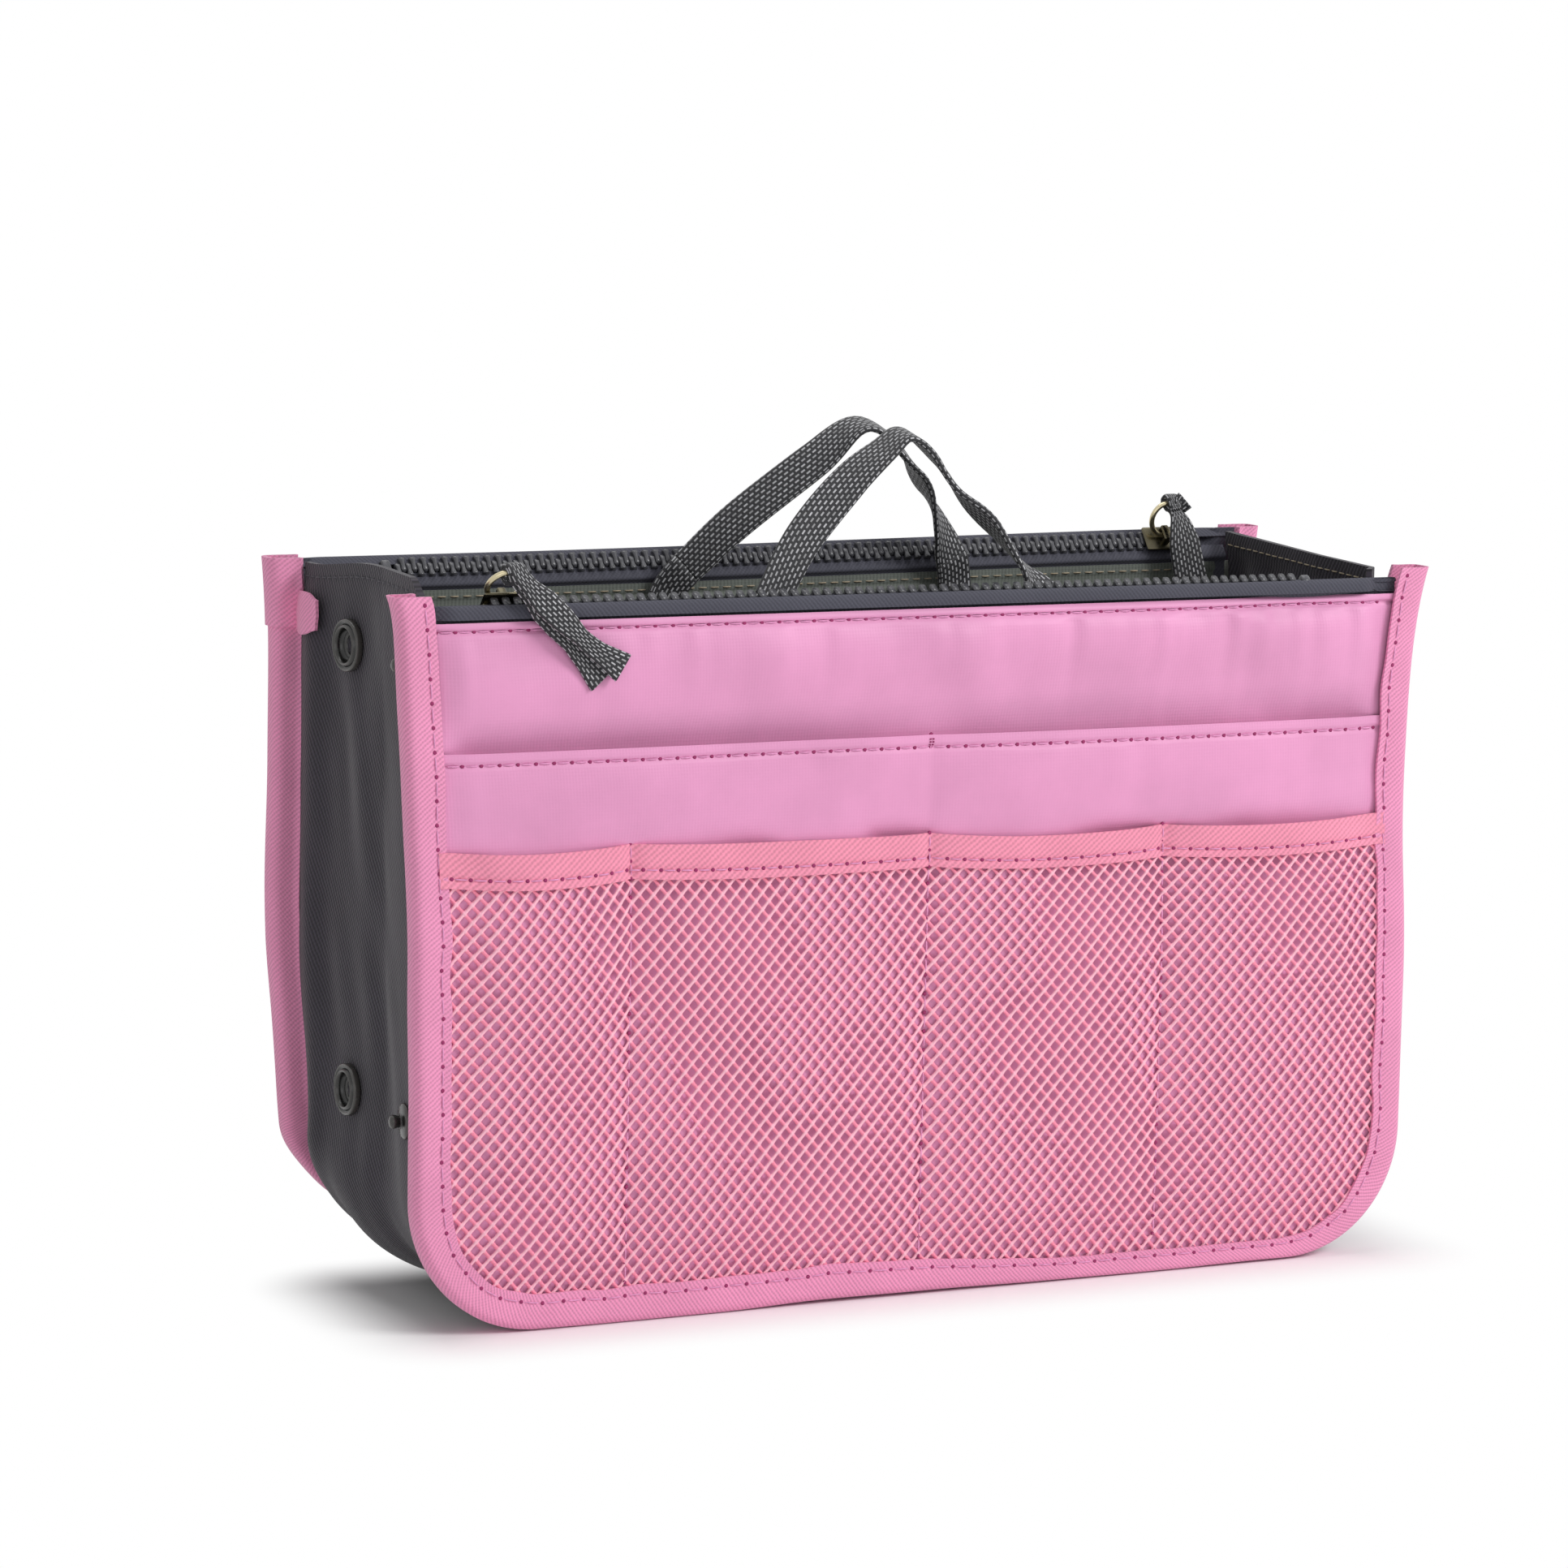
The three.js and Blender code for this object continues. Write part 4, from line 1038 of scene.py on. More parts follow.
def gusset_surface(run, y):
    """Strip between the wings: it follows a U, is pushed in along its fold, ripples along the way, bulges
    at its corners towards the back, tucks in there towards the front, and its left top edge rises in
    front."""
    run, y = np.broadcast_arrays(np.asarray(run, float), np.asarray(y, float))
    centre, way_in = u_path(run, GUSSET_X, GUSSET_LOW, GUSSET_TOP, GUSSET_CORNER)
    free = np.sin(np.pi * np.clip((y + SEAM_Y) / (2 * SEAM_Y), 0, 1)) ** 0.6
    rim = ease(run / 16.0) * ease((GUSSET_LENGTH - run) / 16.0)
    wedge = np.where(y < FOLD_Y, (y + SEAM_Y) / (FOLD_Y + SEAM_Y), 1 - (y - FOLD_Y) / (SEAM_Y - FOLD_Y))
    left = ease((GUSSET_SIDE + 25.0 - run) / 50.0)
    fold = np.clip(wedge, 0.0, 1.0) ** 1.15 * (1.2 + 0.8 * left * ease(run / 55.0))
    ripple = 0.9 * noise(y / 14.0, run / 48.0, 31) + 0.5 * noise((y + 0.25 * run) / 8.0, run / 34.0, 37)
    end = np.minimum(run, GUSSET_LENGTH - run) - GUSSET_SIDE
    lean = ease((y + 28.0) / 44.0)
    corner = np.exp(-((end - 0.5 * GUSSET_ARC) / (0.7 * GUSSET_ARC)) ** 2)
    bulge = (6.5 * lean - 1.0) * corner + 0.8 * ease(end / GUSSET_ARC)
    pillow = 2.2 * rim * np.exp(-((y - 31.0) / 7.0) ** 2)
    sag = fold + free * rim * (0.3 + ripple) - np.sqrt(free) * bulge - pillow
    place = centre - (GUSSET_CORNER - sag[..., None]) * way_in
    crest = 4.0 * ease((24.0 - run) / 24.0) * ease((SEAM_Y - y) / 45.0) * ease((y + SEAM_Y) / 8.0)
    return np.stack([place[..., 0], y, np.maximum(place[..., 1], 0.3) + crest], -1)


def gusset_frame(run, y):
    """A point of the gusset, the way out of it, and the two ways along it."""
    run, y = np.broadcast_arrays(np.asarray(run, float), np.asarray(y, float))
    point = gusset_surface(run, y)
    along = unit(gusset_surface(run + 1.5, y) - gusset_surface(run - 1.5, y))
    across = unit(gusset_surface(run, y + 1.5) - gusset_surface(run, y - 1.5))
    return point, unit(np.cross(across, along)), along, across


def gusset_row(run, ys, inward=False):
    """A run of sewing across the gusset, with the way out of it."""
    y = np.linspace(*ys, 60)
    point, out, _, _ = gusset_frame(run, y)
    if inward:
        return point - out * (hem_depth(run) / MM + 0.05), -out
    return point + out * 0.05, out


def hem_depth(run):
    """Thickness of the gusset: doubled where its top edge is turned over and sewn."""
    end = np.minimum(run, GUSSET_LENGTH - run)
    return (0.9 + 0.8 * ease((5.5 - end) / 1.5)) * MM


def gusset_piece(name, runs, ys, steps):
    """Part of the gusset between two distances along it and two across it, as a sheet."""
    run = np.linspace(*runs, steps[0])[:, None]
    y = np.linspace(*ys, steps[1])[None, :]
    points = gusset_surface(run, y)
    flat = np.stack(np.broadcast_arrays(y, run), -1)
    middle = gusset_surface(np.mean(runs), np.mean(ys)).ravel()
    facing = middle - np.array([0.0, middle[1], 90.0])
    return sheet_object(name, points, flat, facing, np.broadcast_to(hem_depth(run), points.shape[:2]))


# Operators

class ORGANIZER_OT_stage(bpy.types.Operator):
    """Adds the camera, the floor, the soft lights and the white surround"""

    bl_idname = "organizer.stage"
    bl_label = "Stage"

    def execute(self, context):
        scene = context.scene
        scene.view_settings.view_transform = "Standard"
        self.add_camera(scene)
        self.add_floor(context)
        self.add_world(scene)
        for name, place, size, power in (
                ("key_light", (1.55, -1.75, 1.75), 1.2, 46.0),
                ("left_fill", (-1.3, -1.9, 0.7), 1.5, 4.0),
                ("top_light", (0.1, 0.4, 2.0), 1.6, 12.0)):
            lamp = bpy.data.lights.new(name, "AREA")
            lamp.shape = "DISK"
            lamp.size = size
            lamp.energy = power
            made = bpy.data.objects.new(name, lamp)
            made.location = place
            aim = np.array([0.0, 0.0, 0.09]) - np.array(place)
            made.rotation_euler = facing_euler(aim)
            context.collection.objects.link(made)
        return {"FINISHED"}

    @staticmethod
    def add_camera(scene):
        """A long lens in front of the left corner, a little above, tipped as the photograph is."""
        yaw, pitch, roll = (math.radians(value) for value in CAMERA_TURNS)
        ahead = np.array([
            math.sin(yaw) * math.cos(pitch), math.cos(yaw) * math.cos(pitch), math.sin(pitch)])
        right = np.array([math.cos(yaw), -math.sin(yaw), 0.0])
        up = np.cross(right, ahead)
        tilted = right * math.cos(roll) + up * math.sin(roll)
        raised = -right * math.sin(roll) + up * math.cos(roll)
        lens = bpy.data.cameras.new("photo_camera")
        lens.sensor_width = SENSOR
        lens.lens = SENSOR * FOCAL_PIXELS / PHOTO_PIXELS
        lens.clip_start = 0.05
        camera = bpy.data.objects.new("photo_camera", lens)
        axes = np.stack([tilted, raised, -ahead], 1)
        turn = Matrix(axes.tolist()).to_4x4()
        turn.translation = CAMERA_PLACE
        camera.matrix_world = turn
        scene.collection.objects.link(camera)
        scene.camera = camera

    @staticmethod
    def add_floor(context):
        """A wide pale floor: it takes the shadow near the object and fades to plain white further off."""
        reach = 3.0
        mesh = bpy.data.meshes.new("floor")
        mesh.from_pydata([(-reach, -reach, FLOOR), (reach, -reach, FLOOR), (reach, reach, FLOOR),
                          (-reach, reach, FLOOR)], [], [(0, 1, 2, 3)])
        floor = bpy.data.objects.new("floor", mesh)
        context.collection.objects.link(floor)
        made, tree, shader = new_material("white_paper")
        plug(tree, shader, {
            "Base Color": linear("#FAFAFA"), "Roughness": 0.9, "Specular IOR Level": 0.0})
        place = node(tree, "ShaderNodeTexCoord").outputs["Object"]
        # The shadow is kept round the front foot, where the photograph shows it, in an oblong that fades out
        middle, half, fading = (0.004, -0.016, 0.0), (0.128, 0.026, 0.0), 0.032
        off = node(tree, "ShaderNodeVectorMath", {"operation": "SUBTRACT"}, {0: place, 1: middle})
        either = node(tree, "ShaderNodeVectorMath", {"operation": "ABSOLUTE"}, {0: off.outputs[0]})
        past = node(tree, "ShaderNodeVectorMath", {"operation": "SUBTRACT"}, {0: either.outputs[0], 1: half})
        beyond = node(tree, "ShaderNodeVectorMath", {"operation": "MAXIMUM"}, {
            0: past.outputs[0], 1: (0.0, 0.0, 0.0)})
        far = node(tree, "ShaderNodeVectorMath", {"operation": "LENGTH"}, {0: beyond.outputs[0]})
        fade = node(tree, "ShaderNodeMapRange", {"interpolation_type": "SMOOTHSTEP"}, {
            "Value": far.outputs["Value"], "From Min": 0.0, "From Max": fading, "To Min": 0.0, "To Max": 1.0})
        rays = node(tree, "ShaderNodeLightPath")
        seen = node(tree, "ShaderNodeMath", {"operation": "MAXIMUM"}, {
            0: rays.outputs["Is Camera Ray"], 1: rays.outputs["Is Glossy Ray"]})
        share = node(tree, "ShaderNodeMath", {"operation": "MULTIPLY"}, {
            0: fade.outputs[0], 1: seen.outputs[0]})
        white = node(tree, "ShaderNodeEmission", inputs={"Color": (1, 1, 1, 1), "Strength": 1.0})
        mixed = node(tree, "ShaderNodeMixShader", inputs={
            0: share.outputs[0], 1: shader.outputs[0], 2: white.outputs[0]})
        output = next(n for n in tree.nodes if n.bl_idname == "ShaderNodeOutputMaterial")
        plug(tree, output, {"Surface": mixed.outputs[0]})
        floor.data.materials.append(made)

    @staticmethod
    def add_world(scene):
        """White where the camera or a reflection sees it, and a dimmer even light on the object."""
        world = bpy.data.worlds.new("white_surround")
        world.use_nodes = True
        tree = world.node_tree
        tree.nodes.clear()
        rays = node(tree, "ShaderNodeLightPath")
        first = node(tree, "ShaderNodeMath", {"operation": "MAXIMUM"}, {
            0: rays.outputs["Is Camera Ray"], 1: rays.outputs["Is Glossy Ray"]})
        seen = node(tree, "ShaderNodeMath", {"operation": "MAXIMUM"}, {
            0: first.outputs[0], 1: rays.outputs["Is Transmission Ray"]})
        level = node(tree, "ShaderNodeMapRange", inputs={
            "Value": seen.outputs[0], "To Min": 0.38, "To Max": 1.0})
        white = node(tree, "ShaderNodeBackground", inputs={
            "Color": (1, 1, 1, 1), "Strength": level.outputs[0]})
        node(tree, "ShaderNodeOutputWorld", inputs={"Surface": white.outputs[0]})
        scene.world = world


def facing_euler(way):
    """Turn that points a lamp's -Z along way."""
    ahead = unit(np.asarray(way, float))
    right = unit(np.cross(ahead, [0.0, 0.0, 1.0]))
    up = np.cross(right, ahead)
    return Matrix(np.stack([right, up, -ahead], 1).tolist()).to_euler()


class ORGANIZER_OT_nylon(bpy.types.Operator):
    """Adds the nylon panels and slip pockets of both wings"""

    bl_idname = "organizer.nylon"
    bl_label = "Nylon Panels"

    def execute(self, context):
        for side in SIDES:
            for name, shape, top, grid, finish, solid, under in (
                    ("nylon_panel", panel_out, PANEL_TOP, (100, 230), "backed_nylon_taffeta",
                     "outer_panel", "binding_tape"),
                    ("slip_cloth", slip_out, SLIP_TOP, (96, 170), "nylon_taffeta",
                     "slip_pocket", "nylon_panel")):
                piece = wing_sheet(
                    f"{side}_{name}", side, shape, CLOTH_INSET, top, *grid, CLOTH_INSET, sizes().cloth)
                dress(piece, f"{side}_wing", finish, "pink_nylon", f"{side}_{solid}")
        return {"FINISHED"}


class ORGANIZER_OT_lower_pockets(bpy.types.Operator):
    """Adds the net pockets in front, the nylon pocket behind, and their hem tapes"""

    bl_idname = "organizer.lower_pockets"
    bl_label = "Lower Pockets"

    def execute(self, context):
        net = self.net()
        dress(net, "front_wing", "knitted_nylon_net", "pink_net", "front_lower_pocket")
        pocket = wing_sheet(
            "back_lower_cloth", "back", lower_out, CLOTH_INSET, NET_TOP, 80, 170, CLOTH_INSET,
            sizes().cloth, drop=hem_drop)
        dress(pocket, "back_wing", "nylon_taffeta", "pink_nylon", "back_lower_pocket")
        for side in SIDES:
            hem = wing_sheet(
                f"{side}_hem_tape", side, hem_out, HEM_LOW, HEM_TOP, 14, 300, 6.5, BAND_THICK * MM,
                drop=hem_drop)
            dress(hem, f"{side}_wing", "herringbone_tape", "hem_tape", f"{side}_pocket_hem")
        return {"FINISHED"}

    @staticmethod
    def net():
        """Net of four-sided meshes: a raised outer ring shared with its neighbours and a hole inside it."""
        across, up = sizes().net_across / MM / 2, sizes().net_up / MM / 2
        reach_i, reach_j = int(HALF / across) + 1, int(NET_TOP / up) + 1
        i, j = np.meshgrid(np.arange(-reach_i, reach_i + 1), np.arange(1, reach_j + 1))
        sewn = (inside(i * across, j * up) > CLOTH_INSET + 2) & (j * up < NET_TOP - up / 2)
        keep = ((i + j) % 2 == 0) & sewn
        i, j = i[keep], j[keep]
        ring = np.array([(2, 0), (1, 1), (0, 2), (-1, 1), (-2, 0), (-1, -1), (0, -2), (1, -1)])
        outer = np.stack([2 * i, 2 * j], -1)[:, None, :] + ring[None]
        key = (outer[..., 0] + 4096) * 8192 + outer[..., 1] + 4096
        _, first, number = np.unique(key, return_index=True, return_inverse=True)
        corners = outer.reshape(-1, 2)[first] / 2.0
        hole = sizes().net_hole
        shape = ring / 2.0 * np.where(np.arange(8) % 2 == 0, hole * 0.95, hole * 1.03)[:, None]
        inner = (np.stack([i, j], -1)[:, None, :] + shape[None]).reshape(-1, 2)
        flat = np.vstack([corners, inner]) * np.array([across, up])
        outer_number = number.reshape(-1, 8)
        inner_number = len(corners) + np.arange(len(i) * 8).reshape(-1, 8)
        corner_numbers = (
            outer_number, np.roll(outer_number, -1, 1), np.roll(inner_number, -1, 1), inner_number)
        faces = np.stack(corner_numbers, -1).reshape(-1, 4)
        x, z = flat.T
        height = z - hem_drop(x, z, "front")
        crown = np.where(np.arange(len(flat)) < len(corners), 0.35, 0.0)
        points = placed(np.stack([x, lower_out(x, z, "front") + crown, height], -1), "front")
        made = make_object("front_net", points, faces, flat, faces, facing=(0, -1, 0))
        thicken(made, NET_THICK * MM)
        return made


class ORGANIZER_OT_linings(bpy.types.Operator):
    """Adds the linings, the inner pockets and their elastic edges"""

    bl_idname = "organizer.linings"
    bl_label = "Linings"

    def execute(self, context):
        cloth = sizes().cloth
        for side in SIDES:
            body = f"{side}_wing"
            lining = wing_sheet(
                f"{side}_lining_cloth", side, lining_out, CLOTH_INSET, LINING_TOP, 150, 150, CLOTH_INSET,
                cloth, inward=True)
            dress(lining, body, "polyester_lining", "grey_lining", f"{side}_inner_panel")
            pocket = wing_sheet(
                f"{side}_inner_pocket_cloth", side, inner_pocket_out, *INNER_POCKET, 60, 260, 0,
                cloth, INNER_POCKET_HALF, inward=True)
            dress(pocket, body, "polyester_lining", "grey_lining", f"{side}_inner_pocket")
            elastic = wing_sheet(
                f"{side}_inner_elastic_band", side, self.elastic_out, *ELASTIC, 8, 260, 0,
                BAND_THICK * MM, INNER_POCKET_HALF, inward=True)
            dress(elastic, body, "braided_elastic", "grey_lining", f"{side}_inner_elastic")
        return {"FINISHED"}

    @staticmethod
    def elastic_out(x, z, side):
        """Elastic edge: it follows the folds of the pocket's top at a little over half their depth."""
        return inner_pocket_out(x, np.full_like(z, INNER_POCKET[1]), side) * 0.6 - 0.9


class ORGANIZER_OT_bindings(bpy.types.Operator):
    """Adds the twill tape bound round each wing"""

    bl_idname = "organizer.bindings"
    bl_label = "Bindings"

    def execute(self, context):
        for side in SIDES:
            tape = self.tape(f"{side}_binding_tape", side, (0.0, OUTLINE_LENGTH), 330, 0.0)
            dress(tape, f"{side}_wing", "twill_binding_tape", "pink_binding", f"{side}_binding")
        # The back tape's left end is turned over on itself, as the maker finished it
        folded = self.tape("back_binding_end", "back", (OUTLINE_LENGTH - TURNED_END, OUTLINE_LENGTH), 14, 0.7)
        for piece in (folded, self.corner_tab()):
            dress(piece, "back_wing", "twill_binding_tape", "pink_binding")
        return {"FINISHED"}

    @staticmethod
    def corner_tab():
        """Corner of the folded tape, on the gusset: a strip that narrows to a blunt point off the edge."""
        share = np.linspace(0.0, 1.0, 14)[None, :]
        across = np.linspace(-1.0, 1.0, 14)[:, None]
        half = 5.0 - 1.6 * ease((share - 0.6) / 0.4)
        run = 12.0 + half * across
        y = np.broadcast_to(SEAM_Y + 3.0 - TURNED_END * share, run.shape)
        point, out, _, _ = gusset_frame(run, np.minimum(y, SEAM_Y - 1.0))
        past = np.maximum(y - SEAM_Y + 1.0, 0.0)
        point = point + past[..., None] * np.array([0.0, 1.0, 0.0])
        lift = 1.5 + 0.8 * share ** 2 + 0.25 * noise(run / 3.0, y / 4.0, 61)
        points = point + out * lift[..., None]
        flat = np.stack([run, y], -1)
        return sheet_object("back_binding_tab", points, flat, (-1, 0, 0), TAPE_THICK * MM)

    def tape(self, name, side, runs, rows, grow):
        """The folded tape's section carried along the wing's edge, with small waves and flared ends."""
        run = np.linspace(*runs, rows)
        edge, way_in = outline(run)
        outer, inner = binding_section()
        section = np.vstack([outer, inner])
        n = np.broadcast_to(section[:, 0], (rows, len(section)))
        out = np.broadcast_to(section[:, 1], (rows, len(section)))
        at = run[:, None]
        drift, wave = tape_drift(side, at, n)
        dent = 0.2 * np.exp(-((section[:, 0] - TAPE_STITCH) / 0.8) ** 2)[None] * np.sign(out - 2.5)
        middle = np.array([5.0, 2.5])
        swell = grow * unit(section - middle)[None]
        n = n + drift + swell[..., 0]
        out = out - dent + wave + swell[..., 1]
        place = edge[:, None, :] + way_in[:, None, :] * n[..., None]
        rings = placed(np.stack([place[..., 0], out, place[..., 1]], -1), side)
        around = distances(np.vstack([section, section[:1]]))
        flat = np.stack(np.meshgrid(run, around, indexing="ij"), -1)
        made = tube_object(name, rings, flat)
        made.data.set_sharp_from_angle(angle=math.radians(60))
        return made


def zip_point(slope, face):
    """Out and height of a point on the zip's sloping plane: up the slope, and off its face."""
    return ZIP_LOW + ZIP_SLOPE * np.asarray(slope)[..., None] + ZIP_FACE * np.asarray(face)[..., None]


def zip_placed(x, place, side):
    """Points of a wing from their x and their (out, up), in the shared frame."""
    return placed(np.stack([x, place[..., 0], place[..., 1]], -1), side)


def rounded_square(turn, power):
    """Circle drawn out towards a square: cosine and sine, each with its size raised to a power below 1."""
    wave = np.stack([np.cos(turn), np.sin(turn)])
    return np.sign(wave) * np.abs(wave) ** power


class ORGANIZER_OT_zips(bpy.types.Operator):
    """Adds the zip tapes, the teeth, the end stops and the sliders"""

    bl_idname = "organizer.zips"
    bl_label = "Zips"

    def execute(self, context):
        inner_path = [(-0.6, 163.0), (-0.6, 168.6), (-1.5, 170.4), tuple(zip_point(3.4, 0.0))]
        for side in SIDES:
            body = f"{side}_wing"
            roll = ZIP_ROLL[side]
            outer_path = [(3.3, 160.0), (3.3, 170.6), (4.3, 172.2), (5.5, roll - 3.3), (5.4, roll - 1.1),
                          (4.6, roll), (3.6, roll - 0.7), tuple(zip_point(6.2, 0.0))]
            for part, path in (("outer", outer_path), ("inner", inner_path)):
                band = self.tape_band(f"{side}_zip_{part}_band", side, path, ZIP_HALF[part])
                dress(band, body, "woven_zip_tape", "zip_tape", f"{side}_zip_{part}_tape")
            for part, root, way, shift in (("outer", 7.4, -1.0, 0.0), ("inner", 2.2, 1.0, TOOTH_PITCH / 2)):
                row = self.teeth(f"{side}_zip_{part}_row", side, root, way, shift)
                dress(row, body, "acetal_zip_teeth", "zip_teeth", f"{side}_zip_{part}_teeth")
            end = self.block(side, END_STOP, (2.6, 7.0), (-1.3, 1.3), 0.5)
            stop = tube_object(f"{side}_zip_stop", end)
            dress(stop, body, "acetal_zip_teeth", "zip_teeth", f"{side}_zip_end_stop")
            slider = self.slider(side)
            dress(slider, f"{side}_slider", "antique_plated_zinc", "zip_metal", f"{side}_zip_slider")
        return {"FINISHED"}

    @staticmethod
    def tape_band(name, side, path, half):
        """A strip of tape: a curve through the path's points, drawn along the wing."""
        curve, rise = resampled(smooth_path(path, 120), 40)
        x = np.linspace(-half, half, 200)
        ripple = 0.12 * noise(x[None, :] / 14.0, rise[:, None] / 6.0, 53)
        under = ease((np.abs(x[None, :]) - 126.0) / 5.0)
        out = curve[:, :1] + ripple - under * np.maximum(curve[:, :1] - 3.6, 0.0)
        points = np.stack(np.broadcast_arrays(x[None, :], out, curve[:, 1:]), -1)
        flat = np.stack(np.broadcast_arrays(x[None, :], rise[:, None]), -1)
        facing = (0, -SIDES[side], 0) if path[0][0] > 0 else (0, SIDES[side], 0)
        return sheet_object(name, placed(points, side), flat, facing, ZIP_TAPE_THICK * MM)

    @staticmethod
    def teeth(name, side, root, way, shift):
        """A row of teeth: eight-sided tubes up the zip's slope, narrow at the neck and wider at the head."""
        reach = np.array([0.0, 0.5, 1.5, 2.3, 3.2, 3.9]) * way + root
        wide = np.array([0.95, 0.85, 0.6, 0.62, 0.85, 0.5])
        tall = np.array([1.25, 1.3, 1.2, 1.15, 1.1, 0.7])
        across, face = rounded_square((np.arange(8) + 0.5) / 8 * math.tau, 0.5)
        centre = TOOTH_START + shift + TOOTH_PITCH * np.arange(TOOTH_COUNT)
        x = centre[:, None, None] + wide[None, :, None] * across[None, None, :]
        slope = np.broadcast_to(reach[None, :, None], x.shape)
        off = np.broadcast_to(tall[None, :, None] * face[None, None, :], x.shape)
        return many_tubes(name, zip_placed(x, zip_point(slope, off), side))

    @staticmethod
    def block(side, xs, slopes, faces, bend):
        """A block with rounded edges: a rounded oblong section across the slope, carried along the zip."""
        cross, rise = rounded_square(np.arange(24) / 24 * math.tau, 0.4)
        share = np.array([0.0, 0.3, 1.0, 1.0, 0.3, 0.0])
        ends = np.array([xs[0], xs[0] + bend * 0.3, xs[0] + bend, xs[1] - bend, xs[1] - bend * 0.3, xs[1]])
        draw = bend * (1 - np.sqrt(share))
        slope = np.mean(slopes) + ((slopes[1] - slopes[0]) / 2 - draw)[:, None] * cross[None]
        face = np.mean(faces) + ((faces[1] - faces[0]) / 2 - draw)[:, None] * rise[None]
        x = np.broadcast_to(ends[:, None], slope.shape)
        return zip_placed(x, zip_point(slope, face), side)

    def slider(self, side):
        """Slider: rounded plates over and under the teeth, a post at the nose and a bridge for the ring."""
        plate = (SLIDER_X - 5.5, SLIDER_X + 5.5)
        bridge = (SLIDER_X - 1.1, SLIDER_X + 1.1)
        blocks = [
            (plate, (1.2, 8.2), (1.4, 2.3), 0.5),
            (plate, (2.2, 7.0), (-2.2, -1.4), 0.4),
            ((SLIDER_X - 5.3, SLIDER_X - 3.0), (4.2, 5.4), (-1.5, 1.6), 0.3),
            (bridge, (2.6, 3.6), (2.0, 4.9), 0.35),
            (bridge, (6.0, 7.0), (2.0, 4.9), 0.35),
            (bridge, (2.6, 7.0), (4.1, 4.9), 0.35),
        ]
        return many_tubes(f"{side}_slider_body", np.stack([self.block(side, *spec) for spec in blocks]))


class ORGANIZER_OT_pulls(bpy.types.Operator):
    """Adds the rings and the webbing pulls"""

    bl_idname = "organizer.pulls"
    bl_label = "Zip Pulls"

    # Each pull: points along its two layers, the widths of the webbing at shares of the way along it, the
    # second layer's share of those widths, and how far the webbing leans, in degrees
    PULLS = {
        "front": (
            [(-111.8, 5.6, 180.6), (-112.0, 3.9, 182.0), (-112.0, 4.5, 184.5), (-111.5, 6.6, 184.6),
             (-110.0, 7.9, 181.8), (-106.0, 8.6, 177.4), (-99.5, 9.0, 171.4), (-93.0, 9.4, 165.4),
             (-85.2, 9.6, 160.2)],
            [(-111.8, 5.4, 181.6), (-112.0, 4.3, 182.6), (-111.8, 4.9, 183.9), (-111.2, 6.1, 183.4),
             (-110.4, 6.7, 181.0), (-107.0, 7.1, 177.0), (-101.2, 7.3, 170.6), (-95.6, 7.7, 163.6),
             (-90.0, 7.9, 157.2)],
            ([0, 0.3, 0.42, 0.56, 0.7, 0.84, 1], [4.2, 4.6, 6.8, 6.4, 4.5, 5.2, 7.6]), 1.0, 40),
        "back": (
            [(-113.0, -4.9, 183.6), (-112.6, -4.4, 186.0), (-112.3, -3.0, 187.0), (-112.0, -1.7, 185.6),
             (-112.8, -3.2, 183.8), (-113.6, -5.6, 181.4), (-114.6, -6.8, 176.0), (-116.4, -7.0, 168.0),
             (-118.6, -6.8, 160.5)],
            [(-113.0, -4.6, 184.4), (-112.6, -4.0, 185.6), (-112.3, -3.2, 186.2), (-112.1, -2.4, 185.4),
             (-113.2, -2.6, 184.4), (-114.4, -3.8, 184.6), (-115.0, -4.1, 185.0), (-115.5, -4.3, 185.5),
             (-116.0, -4.4, 186.0)],
            ([0, 0.3, 0.42, 0.55, 1], [3.8, 3.8, 6.8, 9.2, 9.8]), 0.6, 14),
    }

    def execute(self, context):
        for side in SIDES:
            ring = self.ring(side)
            dress(ring, f"{side}_ring", "gold_plated_zinc", "zip_metal", f"{side}_zip_ring")
            pull = self.pull(side)
            dress(pull, f"{side}_pull", "woven_webbing", "webbing", f"{side}_zip_pull")
        return {"FINISHED"}

    @staticmethod
    def ring(side):
        """Ring of round wire: a small circle carried round a larger one."""
        way = RING_WAY[side]
        middle = RING_HINGE + way * RING_RADIUS
        turn = np.arange(64) / 64 * math.tau
        small = np.arange(14) / 14 * math.tau
        radius = RING_RADIUS + RING_WIRE * np.cos(small)[None, :]
        x = SLIDER_X + np.sin(turn)[:, None] * radius
        along = -np.cos(turn)[:, None] * radius
        off = np.broadcast_to(RING_WIRE * np.sin(small)[None, :], x.shape)
        normal = np.array([-way[1], way[0]])
        place = middle + along[..., None] * way + off[..., None] * normal
        return tube_object(f"{side}_pull_ring", zip_placed(x, place, side), loop=True)

    def pull(self, side):
        """Webbing folded through the ring: two layers that start round its far side and splay apart."""
        upper, lower, widths, second, lean = self.PULLS[side]
        lean = math.radians(lean)
        steps = 80
        share = np.linspace(0, 1, steps)
        turned = ease((share - 0.2) / 0.4)[:, None]
        leaning = np.array([math.cos(lean), 0.0, math.sin(lean)])
        wide = np.array([1.0, 0.0, 0.0]) * (1 - turned) + leaning * turned
        layers, maps = [], []
        for path, widest in ((upper, 1.0), (lower, second)):
            line, _ = resampled(smooth_path(path, 300), steps)
            rings = strap_rings(line, wide, np.interp(share, *widths) * widest, 1.3)
            layers.append(placed(rings, side))
            maps.append(strap_map(line, rings))
        return many_tubes(f"{side}_pull_webbing", np.stack(layers), np.stack(maps))


